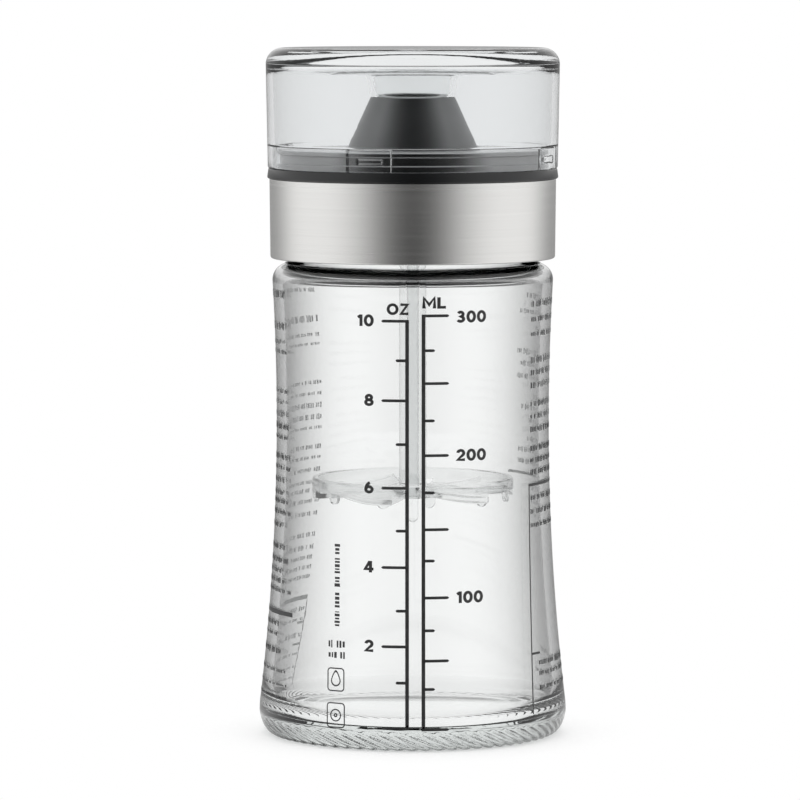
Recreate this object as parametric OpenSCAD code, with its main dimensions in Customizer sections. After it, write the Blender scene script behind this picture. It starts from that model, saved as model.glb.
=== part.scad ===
// Salad dressing shaker bottle, in millimetres.
// The origin is the centre of the foot, +Z is up and -Y is the side with the printed scale.
// The glass bottle stands on its foot ring. The head screws on to its neck and carries the mixer.
// The clear cap clicks over the head's deck and presses a soft seal into the spout.

/* [Glass bottle] */
// Radius of the glass at its waist
waist_r = 33.05; // [32:0.05:34]
// Height of the waist above the foot
waist_z = 77; // [70:0.5:84]
// How much wider the heel is than the waist
heel_flare = 4.35; // [2:0.05:6]
// Height of the widest part of the heel
heel_z = 6.5; // [5:0.1:9]
// How far the foot draws in under the heel
foot_inset = 3; // [1.5:0.1:4]
// Width of the flat ring that the bottle stands on
foot_w = 3.4; // [2:0.1:6]
// Height of the shoulder above the foot
shoulder_z = 114.4; // [108:0.2:124]
// Radius of the shoulder's outer corner
shoulder_round = 4; // [3:0.1:5]
// Thickness of the glass wall
glass_wall = 2.4; // [1.8:0.1:2.8]
// Height of the floor where it meets the wall
floor_z = 5.2; // [4.5:0.1:7]
// Height that the middle of the floor is pushed up
floor_rise = 2; // [1:0.1:3]
// Depth of the hollow under the foot
punt_depth = 3.2; // [1.5:0.1:4]
// Radius of the corner between floor and wall
floor_round = 6; // [4:0.1:8]
// Outer radius of the neck, without its thread
neck_r = 30.1; // [29.4:0.1:31]
// Thickness of the neck's wall
neck_wall = 3.1; // [2.5:0.1:3.6]

/* [Screw joint] */
// Room for the thread between the neck and the screw ring
thread_room = 1.8; // [1.4:0.1:2.4]
// Thickness of the screw ring's wall at its foot
ring_wall = 2.1; // [1.6:0.1:3]
// Thickness of the pour plate in the screw ring
plate_t = 2.2; // [1.6:0.1:3]
// Thickness of the rim seal
seal_t = 1.6; // [1:0.1:2.5]
// Radial room between the rim seal and the screw ring's wall
seal_gap = 1; // [0.5:0.1:1.5]
// Width of the rim seal
seal_w = 3.4; // [2.5:0.1:4]
// Height of the ring that centres the deck
spigot_h = 2.2; // [1.5:0.1:3]
// Thickness of the ring that centres the deck
spigot_w = 1.6; // [1:0.1:2.5]

/* [Steel collar] */
// Thickness of the steel
collar_sheet = 0.5; // [0.3:0.05:0.8]
// Height of the collar
collar_h = 19.3; // [17:0.1:24]
// How much wider the collar is at its top
collar_flare = 0.2; // [0:0.05:0.4]
// Width of the lip that turns in under the screw ring
collar_lip = 1.1; // [0.8:0.1:1.6]
// Gap between the shoulder and the collar
shoulder_gap = 1.2; // [0.8:0.1:3]

/* [Deck] */
// Height of the dark band between collar and cap
band_h = 2.5; // [2:0.1:4]
// How far the band stands out past the collar
band_out = 0.6; // [0.3:0.1:1]
// How far the band draws in at its top
band_taper = 0.4; // [0.1:0.05:0.6]
// How far the deck is set in from the collar's top edge
deck_inset = 1.9; // [1.5:0.1:2.5]
// Height of the deck above the band
deck_h = 4.6; // [4.2:0.1:7]
// Thickness of the deck's wall and top
deck_wall = 2; // [1.5:0.1:2.2]
// Height of the groove that the cap clicks into
groove_h = 2.2; // [2:0.1:2.5]
// Depth of the groove that the cap clicks into
groove_depth = 0.65; // [0.5:0.05:0.9]
// Distance from the deck's top down to the groove
groove_drop = 1; // [0.8:0.1:1.5]

/* [Spout] */
// Radius of the cone at its base
spout_base_r = 15.6; // [14.5:0.1:18]
// Radius of the cone at its top
spout_top_r = 10.2; // [9.5:0.1:12]
// Height of the cone
spout_h = 11.85; // [9:0.05:13.5]
// Width of the lip round the mouth
lip_w = 2.2; // [1.5:0.1:2.8]
// Depth of the straight part of the mouth
mouth_depth = 2.2; // [2:0.1:4]
// Thickness of the foot flange on the deck
flange_t = 0.6; // [0.4:0.1:1]
// How far the foot flange stands out past the cone
flange_out = 0.6; // [0.3:0.1:1.2]
// Outer radius of the tube under the flange
tail_r = 13.5; // [12.5:0.1:14]
// Thickness of the tube under the flange
tail_wall = 1.8; // [1.2:0.1:2.2]

/* [Clear cap] */
// Height of the cap
cap_h = 29.05; // [26:0.05:36]
// How much wider the cap is near its top
cap_flare = 0.45; // [0:0.05:0.8]
// Radius of the cap's top edge
cap_round = 4; // [2.5:0.1:5]
// Thickness of the cap's wall
cap_wall = 1.7; // [1.4:0.1:2.2]
// Thickness of the cap's crown
crown_t = 4; // [3:0.1:5]
// Radius of the disc under the crown
boss_r = 20.5; // [17:0.1:24]
// Thickness of the disc under the crown
boss_t = 1.35; // [0.8:0.05:2]
// Thickness of the thin skirt round the deck
skirt_wall = 1.1; // [0.9:0.1:1.3]
// Height of the thin skirt
skirt_h = 5.4; // [5:0.1:8]
// Thickness of the catch pads inside the skirt
pad_t = 0.9; // [0.6:0.05:1.2]
// Width of a catch pad
pad_w = 10.8; // [8:0.1:14]
// Gap between a catch pad and the deck
pad_gap = 0.3; // [0.2:0.05:0.4]
// Number of catch pads
pad_count = 4; // [3:1:6]
// Turn of the first pad from the front, in degrees
pad_turn = -18; // [-30:1:30]
// Width of the bead on a pad
bead_w = 5.9; // [4:0.1:7]
// Clearance of the bead in its groove
bead_gap = 0.3; // [0.2:0.05:0.35]

/* [Spout seal] */
// Radius of the seal's collar under the crown
seal_top_r = 13.2; // [12.5:0.1:15]
// Radius of the seal where its flare ends
seal_flare_r = 11; // [10.5:0.1:12]
// Height of the flare
seal_flare_h = 2.4; // [1.5:0.1:3]
// Radial clearance of the nose in the mouth
nose_fit = 0.07; // [0.03:0.01:0.1]
// Depth of the nose in the mouth
nose_depth = 1.8; // [1:0.1:1.9]
// Radius of the peg that holds the seal
peg_r = 4; // [3:0.1:5]
// Length of the peg that holds the seal
peg_len = 4; // [3:0.1:5]

/* [Mixer] */
// Outer radius of the stem tube
tube_r = 3.3; // [2.8:0.05:3.8]
// Length of the stem tube
tube_len = 73.2; // [60:0.2:78]
// Radius of the core pin
pin_r = 1.38; // [1.1:0.02:1.6]
// Length of the core pin below the hub
pin_below = 6.2; // [4:0.1:10]
// Length of the core pin above the hub
pin_above = 66; // [20:1:68]
// Clearance between core pin and tube
pin_gap = 0.08; // [0.03:0.01:0.2]
// Radial clearance of the tube in its socket
socket_fit = 0.05; // [0.02:0.01:0.1]
// Depth of the socket
socket_depth = 9.5; // [6:0.5:14]
// Wall of the socket
socket_wall = 1.85; // [1.2:0.05:2.4]
// Gap over the tube's end in the socket
stem_end_gap = 0.1; // [0.05:0.05:0.5]
// Radius of the pour hole round the socket
pour_r = 11.2; // [9.8:0.1:11.5]
// Number of ribs that hold the socket
rib_count = 3; // [3:1:5]
// Width of a rib
rib_w = 2.4; // [1.6:0.1:3]
// Outer radius of the mixer disc
disc_r = 24.5; // [20:0.1:24.8]
// Height of the mixer disc's ring
disc_ring_h = 2.8; // [1.6:0.1:3.4]
// Thickness of the mixer disc's ring
disc_ring_w = 1.4; // [1:0.1:2]
// Height of the ring's top above the tube's end
disc_up = 2; // [0.6:0.1:2.4]
// Radius of the mixer disc's hub
hub_r = 4.8; // [4.2:0.1:6]
// How far the hub hangs under the ring
hub_drop = 2.3; // [2.1:0.1:4]
// Number of mixer blades
blade_count = 6; // [4:1:7]
// Angle that a blade covers, in degrees
blade_sweep = 36; // [30:1:42]
// Thickness of a blade
blade_t = 1.2; // [0.9:0.1:1.6]
// Tilt of a blade at its middle, in degrees
blade_tilt = 8; // [5:1:12]
// Radius of a blade's bow
blade_bow = 40; // [30:1:60]
// How far a blade's lowest line hangs under the ring
blade_drop = 2; // [1.2:0.1:2.4]
// How far the fingers hang under the ring
finger_drop = 2.9; // [2:0.1:4]
// How much less the small fingers hang down
finger_less = 0.3; // [0:0.1:0.8]
// Width of a finger
finger_w = 3; // [2.5:0.1:4]
// Angle from a blade's low end back to its finger, in degrees
finger_back = 5; // [3:0.5:8]
// Angle from a blade's middle to the small finger after it, in degrees
finger_step = 39; // [28:1:42]
// Turn of the first blade from the front, in degrees
blade_turn = -30; // [-60:1:60]

/* [Hidden] */

// Steps in a full turn, and in the profile's arcs
round_fn = 180;
wall_steps = 16;
corner_steps = 6;
// Height left between the glass wall's first or last point and the arc next to it
arc_gap = 2;
// Overshoot of a cut, so that no face is left behind
cut = 1;
// Radius that softens a small edge
edge = 0.4;
// Smallest corner radius inside the cap
least_round = 1;
// How far a lobe stays inside the faces of the mixer's ring, and a finger twice as far
seam_step = 0.15;
// How far a lobe ends before its blade does, in degrees
seam_turn = 0.5;

// Heights, from the foot up
collar_z = shoulder_z + shoulder_gap;
band_z = collar_z + collar_h;
cap_z = band_z + band_h;
deck_z = cap_z + deck_h;
cone_z = deck_z + flange_t;
mouth_z = cone_z + spout_h;
cap_top_z = cap_z + cap_h;
plate_z = band_z - plate_t;
rim_z = plate_z - seal_t;

// Radii, from the neck out
bore_r = neck_r - neck_wall;
ring_in_r = neck_r + thread_room;
ring_out_r = ring_in_r + ring_wall;
collar_r = ring_out_r + collar_sheet;
collar_top_r = collar_r + collar_flare;
band_r = collar_top_r + band_out;
deck_r = collar_top_r - deck_inset;
deck_in_r = deck_r - deck_wall;
pad_in_r = deck_r + pad_gap;
skirt_in_r = pad_in_r + pad_t;
cap_r = skirt_in_r + skirt_wall;
cap_top_r = cap_r + cap_flare;
mouth_r = spout_top_r - lip_w;

// Glass wall as one arc through the waist and the heel
heel_r = waist_r + heel_flare;
foot_r = heel_r - foot_inset;
heel_run = waist_z - heel_z;
wall_arc_r = (heel_run * heel_run + heel_flare * heel_flare) / (2 * heel_flare);

// Mixer heights
socket_top_z = band_z - plate_t / 2;
tube_top_z = socket_top_z - stem_end_gap;
hub_z = tube_top_z - tube_len;
disc_top_z = hub_z + disc_up;
disc_low_z = disc_top_z - disc_ring_h;
hub_low_z = disc_low_z - hub_drop;
finger_z = disc_low_z - finger_drop;

// Radius of the outer glass wall at height z
function wall_r(z) =
    waist_r + wall_arc_r - sqrt(wall_arc_r * wall_arc_r - (z - waist_z) * (z - waist_z));

// Points of an ellipse arc round c, with half widths a and b, from angle t0 to t1
function arc_points(c, a, b, t0, t1, steps) = [
    for (i = [0:steps])
        let (t = t0 + (t1 - t0) * i / steps)
        [c[0] + a * cos(t), c[1] + b * sin(t)]
];

// Points of a dome over the axis, from its edge at radius r and height z up by rise
function dome_points(r, z, rise, steps) =
    let (ball_r = (r * r + rise * rise) / (2 * rise), half = asin(r / ball_r))
    [
        for (i = [0:steps])
            let (t = half * (1 - i / steps))
            [i == steps ? 0 : ball_r * sin(t), z + rise - ball_r + ball_r * cos(t)]
    ];

// Points up the glass wall from z0 to z1, moved in by inset
function wall_points(z0, z1, inset, steps) = [
    for (i = [0:steps])
        let (z = z0 + (z1 - z0) * i / steps)
        [wall_r(z) - inset, z]
];

function reversed(list) = [for (i = [len(list) - 1:-1:0]) list[i]];

// Solid of revolution of a half profile
module lathe(points) {
    rotate_extrude($fn = round_fn)
        polygon(points);
}

// Ring between two radii, from z0 to z1
module ring(r_in, r_out, z0, z1) {
    lathe([[r_in, z0], [r_out, z0], [r_out, z1], [r_in, z1]]);
}

// Outer form of the glass from the foot up to the shoulder
module glass_outside() {
    corner_z = shoulder_z - shoulder_round;
    corner_r = wall_r(corner_z) - shoulder_round;
    lathe(concat(
        reversed(dome_points(foot_r - foot_w, 0, punt_depth, corner_steps)),
        arc_points([foot_r, heel_z], foot_inset, heel_z, -90, 0, corner_steps + 2),
        wall_points(heel_z + arc_gap, corner_z - arc_gap, 0, wall_steps),
        arc_points([corner_r, corner_z], shoulder_round, shoulder_round, 0, 90, corner_steps),
        [[0, shoulder_z]]));
}

// Room inside the glass, from the floor up through the mouth
module glass_inside() {
    ceiling_z = shoulder_z - glass_wall;
    inner_round = shoulder_round - glass_wall;
    inner_r = wall_r(shoulder_z - shoulder_round) - glass_wall;
    corner_z = floor_z + floor_round;
    corner_r = wall_r(corner_z) - glass_wall;
    union() {
        lathe(concat(
            reversed(dome_points(corner_r - floor_round, floor_z, floor_rise, corner_steps)),
            arc_points([corner_r - floor_round, corner_z], floor_round, floor_round,
                -90, 0, corner_steps),
            wall_points(corner_z + arc_gap, shoulder_z - shoulder_round - arc_gap, glass_wall,
                wall_steps),
            arc_points([inner_r - inner_round, ceiling_z - inner_round],
                inner_round, inner_round, 0, 90, corner_steps),
            [[0, ceiling_z]]));
        translate([0, 0, ceiling_z - cut])
            cylinder(r = bore_r, h = glass_wall + 2 * cut, $fn = round_fn);
    }
}

// Glass bottle up to the shoulder, where the neck is fused on
module glass_bottle() {
    color([0.86, 0.92, 0.92, 0.5])
        difference() {
            glass_outside();
            glass_inside();
        }
}

// Glass neck with the rim
module glass_neck() {
    color([0.86, 0.92, 0.92, 0.5])
        lathe([[bore_r, shoulder_z], [neck_r, shoulder_z], [neck_r, rim_z - edge],
            [neck_r - edge, rim_z], [bore_r + edge, rim_z], [bore_r, rim_z - edge]]);
}

// Soft washer between the glass rim and the pour plate
module rim_seal() {
    color("dimgray")
        ring(ring_in_r - seal_gap - seal_w, ring_in_r - seal_gap, rim_z, plate_z);
}

// Dark ring that screws on to the neck
module screw_ring() {
    skirt_z = collar_z + collar_sheet;
    color("#1c1d1f")
        lathe([[ring_in_r, skirt_z], [ring_out_r, skirt_z], [ring_out_r + collar_flare, band_z],
            [ring_in_r, band_z]]);
}

// Dark plate in the screw ring, with the pour hole, the socket of the mixer and the deck's ring
module pour_plate() {
    socket_r = tube_r + socket_fit + socket_wall;
    socket_low_z = socket_top_z - socket_depth;
    color("#1c1d1f")
        difference() {
            union() {
                translate([0, 0, plate_z])
                    cylinder(r = ring_in_r, h = plate_t, $fn = round_fn);
                ring(deck_in_r - spigot_w, deck_in_r, band_z - cut, band_z + spigot_h);
                translate([0, 0, socket_low_z])
                    cylinder(r = socket_r, h = band_z - socket_low_z, $fn = round_fn);
            }
            pour_slots(socket_r);
            translate([0, 0, socket_low_z - cut])
                cylinder(r = tube_r + socket_fit, h = socket_depth + cut, $fn = round_fn);
        }
}

// Openings between the socket and the edge of the pour hole, parted by the ribs
module pour_slots(socket_r) {
    difference() {
        ring(socket_r, pour_r, plate_z - cut, band_z + cut);
        for (i = [0:rib_count - 1])
            rotate([0, 0, i * 360 / rib_count + 90])
                translate([0, -rib_w / 2, plate_z - 2 * cut])
                    cube([pour_r + cut, rib_w, plate_t + 4 * cut]);
    }
}

// Steel sleeve pressed over the screw ring
module steel_collar() {
    color("silver")
        lathe([[collar_r - collar_sheet, collar_z + collar_sheet],
            [collar_r - collar_lip - collar_sheet, collar_z + collar_sheet],
            [collar_r - collar_lip - collar_sheet, collar_z],
            [collar_r - edge, collar_z],
            [collar_r, collar_z + edge],
            [collar_top_r, band_z],
            [collar_top_r - collar_sheet, band_z]]);
}

// Dark cover of the head with the band, the click groove and the seat of the spout
module deck() {
    groove_z = deck_z - groove_drop - groove_h;
    color("#141517")
        lathe([[deck_in_r, band_z], [band_r - edge, band_z], [band_r, band_z + edge],
            [band_r - band_taper, cap_z], [deck_r, cap_z],
            [deck_r, groove_z], [deck_r - groove_depth, groove_z],
            [deck_r - groove_depth, groove_z + groove_h], [deck_r, groove_z + groove_h],
            [deck_r, deck_z - edge], [deck_r - edge, deck_z],
            [tail_r, deck_z], [tail_r, deck_z - deck_wall],
            [deck_in_r, deck_z - deck_wall]]);
}

// Dark pour spout that stands on the deck
module spout() {
    color("#34373a")
        lathe([[tail_r - tail_wall, band_z], [tail_r, band_z], [tail_r, deck_z],
            [spout_base_r + flange_out, deck_z], [spout_base_r + flange_out, cone_z],
            [spout_base_r, cone_z], [spout_top_r, mouth_z - edge / 2],
            [spout_top_r - edge / 2, mouth_z], [mouth_r, mouth_z],
            [mouth_r, mouth_z - mouth_depth], [tail_r - tail_wall, cone_z]]);
}

// Clear cap with its crown, thin skirt and catch pads
module clear_cap() {
    shell_top_z = cap_top_z - cap_round;
    ceiling_z = cap_top_z - crown_t;
    boss_z = ceiling_z - boss_t;
    inner_round = max(cap_round - cap_wall, least_round);
    inner_top_r = cap_top_r - cap_wall;
    skirt_z = cap_z + skirt_h;
    color([0.85, 0.88, 0.9, 0.4])
        union() {
            difference() {
                lathe(concat(
                    [[0, cap_z], [cap_r - edge, cap_z], [cap_r, cap_z + edge]],
                    arc_points([cap_top_r - cap_round, shell_top_z], cap_round, cap_round,
                        0, 90, corner_steps),
                    [[0, cap_top_z]]));
                lathe(concat(
                    [[0, cap_z - cut], [skirt_in_r, cap_z - cut], [skirt_in_r, skirt_z],
                        [cap_r - cap_wall, skirt_z + edge]],
                    arc_points([inner_top_r - inner_round, ceiling_z - inner_round],
                        inner_round, inner_round, 0, 90, corner_steps),
                    [[boss_r, ceiling_z], [boss_r - boss_t / 2, boss_z], [peg_r, boss_z],
                        [peg_r, boss_z - peg_len], [0, boss_z - peg_len]]));
            }
            for (i = [0:pad_count - 1])
                rotate([0, 0, pad_turn + i * 360 / pad_count])
                    catch_pad(skirt_z);
        }
}

// Catch pad at the front of the skirt, with the bead that clicks into the groove
module catch_pad(skirt_z) {
    bead_z = deck_z - groove_drop - groove_h + bead_gap;
    bead_h = groove_h - 2 * bead_gap;
    slope_h = bead_h / 3;
    bead_in_r = deck_r - groove_depth + bead_gap;
    intersection() {
        ring(pad_in_r, skirt_in_r + skirt_wall / 2, cap_z, skirt_z);
        translate([-pad_w / 2, -cap_r, cap_z])
            cube([pad_w, cap_r, skirt_h]);
    }
    intersection() {
        lathe([[pad_in_r + edge, bead_z], [pad_in_r, bead_z],
            [bead_in_r, bead_z + slope_h], [bead_in_r, bead_z + bead_h - slope_h],
            [pad_in_r, bead_z + bead_h], [pad_in_r + edge, bead_z + bead_h]]);
        translate([-bead_w / 2, -cap_r, bead_z - cut])
            cube([bead_w, cap_r, bead_h + 2 * cut]);
    }
}

// Soft plug under the crown that closes the spout
module spout_seal() {
    boss_z = cap_top_z - crown_t - boss_t;
    nose_r = mouth_r - nose_fit;
    flare_z = boss_z - seal_flare_h;
    color([0.93, 0.93, 0.92, 0.8])
        difference() {
            lathe(concat(
                [[0, mouth_z - nose_depth], [nose_r - edge, mouth_z - nose_depth],
                    [nose_r, mouth_z - nose_depth + edge], [nose_r, mouth_z],
                    [spout_top_r, mouth_z]],
                arc_points([seal_top_r, flare_z], seal_top_r - seal_flare_r, seal_flare_h,
                    180, 90, corner_steps),
                [[0, boss_z]]));
            translate([0, 0, boss_z - peg_len])
                cylinder(r = peg_r, h = peg_len + cut, $fn = round_fn);
        }
}

// Clear tube that hangs the mixer from the head
module mixer_tube() {
    color([0.8, 0.86, 0.88, 0.5])
        ring(pin_r + pin_gap, tube_r, hub_z, tube_top_z);
}

// Clear core pin with a rounded tip
module mixer_pin() {
    low_z = hub_low_z - pin_below;
    color([0.75, 0.8, 0.82, 0.7])
        lathe(concat(
            arc_points([0, low_z + pin_r], pin_r, pin_r, -90, 0, corner_steps),
            [[pin_r, hub_z + pin_above], [0, hub_z + pin_above]]));
}

// Clear mixer disc: a ring and a hub joined by bowed blades, with lobes and fingers under the ring
module mixer_disc() {
    ring_in_r = disc_r - disc_ring_w;
    pitch = 360 / blade_count;
    color([0.85, 0.9, 0.9, 0.6])
        difference() {
            union() {
                lathe([[ring_in_r, disc_low_z], [disc_r, disc_low_z],
                    [disc_r, disc_top_z - edge], [disc_r - edge, disc_top_z],
                    [ring_in_r, disc_top_z]]);
                translate([0, 0, hub_low_z])
                    cylinder(r = hub_r, h = hub_z - hub_low_z, $fn = round_fn);
                for (i = [0:blade_count - 1])
                    rotate([0, 0, blade_turn + i * pitch]) {
                        blade();
                        lobe();
                        rotate([0, 0, blade_sweep / 2 - finger_back])
                            finger(finger_drop);
                        rotate([0, 0, finger_step])
                            finger(finger_drop - finger_less);
                    }
            }
            translate([0, 0, hub_low_z - cut])
                cylinder(r = pin_r, h = hub_z - hub_low_z + 2 * cut, $fn = round_fn);
        }
}

// Pie piece at the front, over the angle that a blade covers less trim at each side
module blade_sector(trim) {
    half = blade_sweep / 2 - trim;
    linear_extrude(height = disc_top_z)
        polygon([[0, 0], 2 * disc_r * [-sin(half), -cos(half)], 2 * disc_r * [sin(half), -cos(half)]]);
}

// Slab at the front that sags down to the right, from below to above the blade's middle
module bowed_slab(below, above) {
    low_z = disc_low_z - blade_drop + blade_t / 2;
    translate([blade_bow * sin(blade_tilt), 0, low_z + blade_bow])
        rotate([90, 0, 0])
            difference() {
                cylinder(r = blade_bow + below, h = disc_r + cut, $fn = round_fn);
                translate([0, 0, -cut])
                    cylinder(r = blade_bow - above, h = disc_r + 3 * cut, $fn = round_fn);
            }
}

// One bowed blade at the front, between the hub and the ring
module blade() {
    intersection() {
        ring((pin_r + hub_r) / 2, disc_r - disc_ring_w / 2, finger_z - cut,
            disc_top_z - 2 * edge);
        blade_sector(0);
        bowed_slab(blade_t / 2, blade_t / 2);
    }
}

// Part of the skirt under the ring that runs down with the blade
module lobe() {
    intersection() {
        ring(disc_r - disc_ring_w + seam_step, disc_r - seam_step, finger_z - cut,
            disc_low_z + edge);
        blade_sector(seam_turn);
        bowed_slab(blade_t / 2 + seam_step, 2 * finger_drop);
    }
}

// One finger with a round end that hangs from the ring at the front
module finger(drop) {
    inset = 2 * seam_step;
    tip_r = finger_w / 2;
    intersection() {
        ring(disc_r - disc_ring_w + inset, disc_r - inset, disc_low_z - drop, disc_low_z + 2 * edge);
        union() {
            translate([0, 0, disc_low_z - drop + tip_r])
                rotate([90, 0, 0])
                    cylinder(r = tip_r, h = disc_r + cut, $fn = 48);
            translate([-tip_r, -disc_r - cut, disc_low_z - drop + tip_r])
                cube([finger_w, disc_r + cut, drop]);
        }
    }
}

glass_bottle();
glass_neck();
rim_seal();
screw_ring();
pour_plate();
steel_collar();
deck();
spout();
clear_cap();
spout_seal();
mixer_tube();
mixer_pin();
mixer_disc();
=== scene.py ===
"""Looks of a salad dressing shaker bottle: waisted glass, steel-clad pouring head, clear cap and mixer."""

import math

import bmesh
import bpy
from bpy.props import FloatProperty, FloatVectorProperty, IntProperty, PointerProperty
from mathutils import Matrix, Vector


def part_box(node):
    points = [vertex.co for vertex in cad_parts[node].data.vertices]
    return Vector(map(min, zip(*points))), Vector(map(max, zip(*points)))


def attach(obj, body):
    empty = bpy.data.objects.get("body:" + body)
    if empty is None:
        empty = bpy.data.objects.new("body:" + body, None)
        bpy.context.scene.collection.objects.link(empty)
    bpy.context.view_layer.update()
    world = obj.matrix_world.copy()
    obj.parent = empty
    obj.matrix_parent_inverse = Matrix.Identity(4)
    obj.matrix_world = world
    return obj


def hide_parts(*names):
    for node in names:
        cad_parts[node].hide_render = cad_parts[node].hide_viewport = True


bl_info = {
    "name": "Shaker Bottle Looks",
    "version": (1, 0, 0),
    "blender": (4, 5, 0),
    "location": "View3D > Sidebar > Shaker",
    "description": "Dresses the packed shaker bottle with glass, steel, plastic, print and a studio",
    "category": "Object",
}

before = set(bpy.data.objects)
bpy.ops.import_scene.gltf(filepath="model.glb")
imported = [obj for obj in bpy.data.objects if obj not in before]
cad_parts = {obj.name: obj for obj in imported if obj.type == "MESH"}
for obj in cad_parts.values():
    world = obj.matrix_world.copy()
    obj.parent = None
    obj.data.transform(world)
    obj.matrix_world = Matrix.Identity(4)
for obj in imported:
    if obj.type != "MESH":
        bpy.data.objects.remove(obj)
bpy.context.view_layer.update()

MM = 0.001
FULL = 2 * math.pi


def top_of(node):
    """Height of a CAD node's top, in millimetres."""
    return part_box(node)[1].z / MM


def low_of(node):
    """Height of a CAD node's lowest point, in millimetres."""
    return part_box(node)[0].z / MM


def radius_of(node):
    """Greatest radius of a turned CAD node, in millimetres."""
    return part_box(node)[1].x / MM


# Heights and radii that the CAD frame gives, in millimetres
RIM_Z = top_of("glass_neck")
SHOULDER_Z = top_of("glass_bottle")
HEEL_R = radius_of("glass_bottle")
NECK_R = radius_of("glass_neck")
COLLAR_Z = low_of("steel_collar")
BAND_Z = top_of("steel_collar")
DECK_Z = top_of("deck")
BAND_R = radius_of("deck")
COLLAR_TOP_R = radius_of("steel_collar")
MOUTH_Z = top_of("spout")
CAP_Z = low_of("clear_cap")
CAP_TOP_Z = top_of("clear_cap")
CAP_TOP_R = radius_of("clear_cap")
SEAL_TOP_Z = top_of("spout_seal")
TUBE_R = radius_of("mixer_tube")
TUBE_LOW_Z = low_of("mixer_tube")
TUBE_TOP_Z = top_of("mixer_tube")
PIN_R = radius_of("mixer_pin")
PIN_LOW_Z = low_of("mixer_pin")
PIN_TOP_Z = top_of("mixer_pin")


class GlassSizes(bpy.types.PropertyGroup):
    waist_r: FloatProperty(
        name="Waist radius", description="Radius of the glass at its waist",
        default=33.05 * MM, unit="LENGTH")
    waist_z: FloatProperty(
        name="Waist height", description="Height of the waist above the foot",
        default=77 * MM, unit="LENGTH")
    heel_z: FloatProperty(
        name="Heel height", description="Height of the widest part of the heel",
        default=6.5 * MM, unit="LENGTH")
    wall: FloatProperty(
        name="Wall", description="Thickness of the glass wall",
        default=2.4 * MM, unit="LENGTH")
    bead_count: IntProperty(
        name="Foot beads", description="Number of slanted beads round the foot", default=66)
    bead_depth: FloatProperty(
        name="Bead depth", description="Depth of the hollows between the foot beads",
        default=0.5 * MM, unit="LENGTH")
    thread_pitch: FloatProperty(
        name="Thread pitch", description="Rise of the screw thread in one turn",
        default=4 * MM, unit="LENGTH")


class CapSizes(bpy.types.PropertyGroup):
    wall: FloatProperty(
        name="Wall", description="Thickness of the cap's wall",
        default=1.7 * MM, unit="LENGTH")
    crown: FloatProperty(
        name="Crown", description="Thickness of the cap's crown",
        default=4 * MM, unit="LENGTH")
    pad_count: IntProperty(
        name="Catch pads", description="Number of catch pads inside the cap's foot", default=4)
    pad_turn: FloatProperty(
        name="First pad", description="Turn of the first catch pad from the front",
        default=math.radians(-18), subtype="ANGLE")


class PrintSizes(bpy.types.PropertyGroup):
    line: FloatProperty(
        name="Line", description="Thickness of the scale's upright lines",
        default=0.88 * MM, unit="LENGTH")
    tick: FloatProperty(
        name="Tick", description="Thickness of the scale's ticks",
        default=0.68 * MM, unit="LENGTH")
    figure: FloatProperty(
        name="Figure height", description="Height of the scale's figures",
        default=2.75 * MM, unit="LENGTH")
    film: FloatProperty(
        name="Ink film", description="Thickness of the ink on the glass",
        default=0.04 * MM, unit="LENGTH")
    panel_seed: IntProperty(
        name="Panel seed", description="Seed of the dash rows in the side panels", default=7)


class Finishes(bpy.types.PropertyGroup):
    glass: FloatVectorProperty(
        name="Glass", description="Colour that thick glass takes on", subtype="COLOR",
        size=3, default=(0.77, 0.80, 0.79), min=0, max=1)
    cap: FloatVectorProperty(
        name="Cap", description="Colour that the thick clear cap takes on", subtype="COLOR",
        size=3, default=(0.70, 0.73, 0.74), min=0, max=1)
    steel: FloatVectorProperty(
        name="Steel", description="Colour of the brushed steel", subtype="COLOR",
        size=3, default=(0.76, 0.755, 0.74), min=0, max=1)
    dark: FloatVectorProperty(
        name="Dark plastic", description="Colour of deck, band and ring", subtype="COLOR",
        size=3, default=(0.004, 0.0045, 0.005), min=0, max=1)
    spout: FloatVectorProperty(
        name="Spout plastic", description="Colour of the satin spout", subtype="COLOR",
        size=3, default=(0.004, 0.0045, 0.005), min=0, max=1)
    seal: FloatVectorProperty(
        name="Milky seal", description="Colour of the soft spout seal", subtype="COLOR",
        size=3, default=(0.93, 0.94, 0.94), min=0, max=1)
    ink: FloatVectorProperty(
        name="Ink", description="Colour of the print", subtype="COLOR",
        size=3, default=(0.010, 0.010, 0.011), min=0, max=1)


class StudioSettings(bpy.types.PropertyGroup):
    lens: FloatProperty(
        name="Lens", description="Focal length on a 36 mm sensor", default=231.77)
    camera_y: FloatProperty(
        name="Camera distance", description="Distance of the camera from the axis",
        default=1.2475, unit="LENGTH")
    camera_z: FloatProperty(
        name="Camera height", description="Height of the camera", default=0.182, unit="LENGTH")
    camera_x: FloatProperty(
        name="Camera offset", description="Sideways place of the camera",
        default=-0.00309, unit="LENGTH")
    look_z: FloatProperty(
        name="Look height", description="Height that the camera looks at",
        default=0.081, unit="LENGTH")
    floor_r: FloatProperty(
        name="Floor radius", description="Radius of the pale floor", default=0.6, unit="LENGTH")


# ---- Mesh helpers ----

HEEL_ROUND = 3.6


def wall_r(z):
    """Outer radius of the glass at height z in millimetres: one arc to the heel, rounded under it."""
    g = bpy.context.scene.shaker_glass
    waist_r, waist_z, heel_z = g.waist_r / MM, g.waist_z / MM, g.heel_z / MM
    flare, run = HEEL_R - waist_r, waist_z - heel_z
    arc_r = (run * run + flare * flare) / (2 * flare)
    r = waist_r + arc_r - math.sqrt(arc_r * arc_r - (max(z, heel_z) - waist_z) ** 2)
    under = max(heel_z - z, 0) / heel_z
    return r - HEEL_ROUND * (1 - math.sqrt(1 - under * under))


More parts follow.
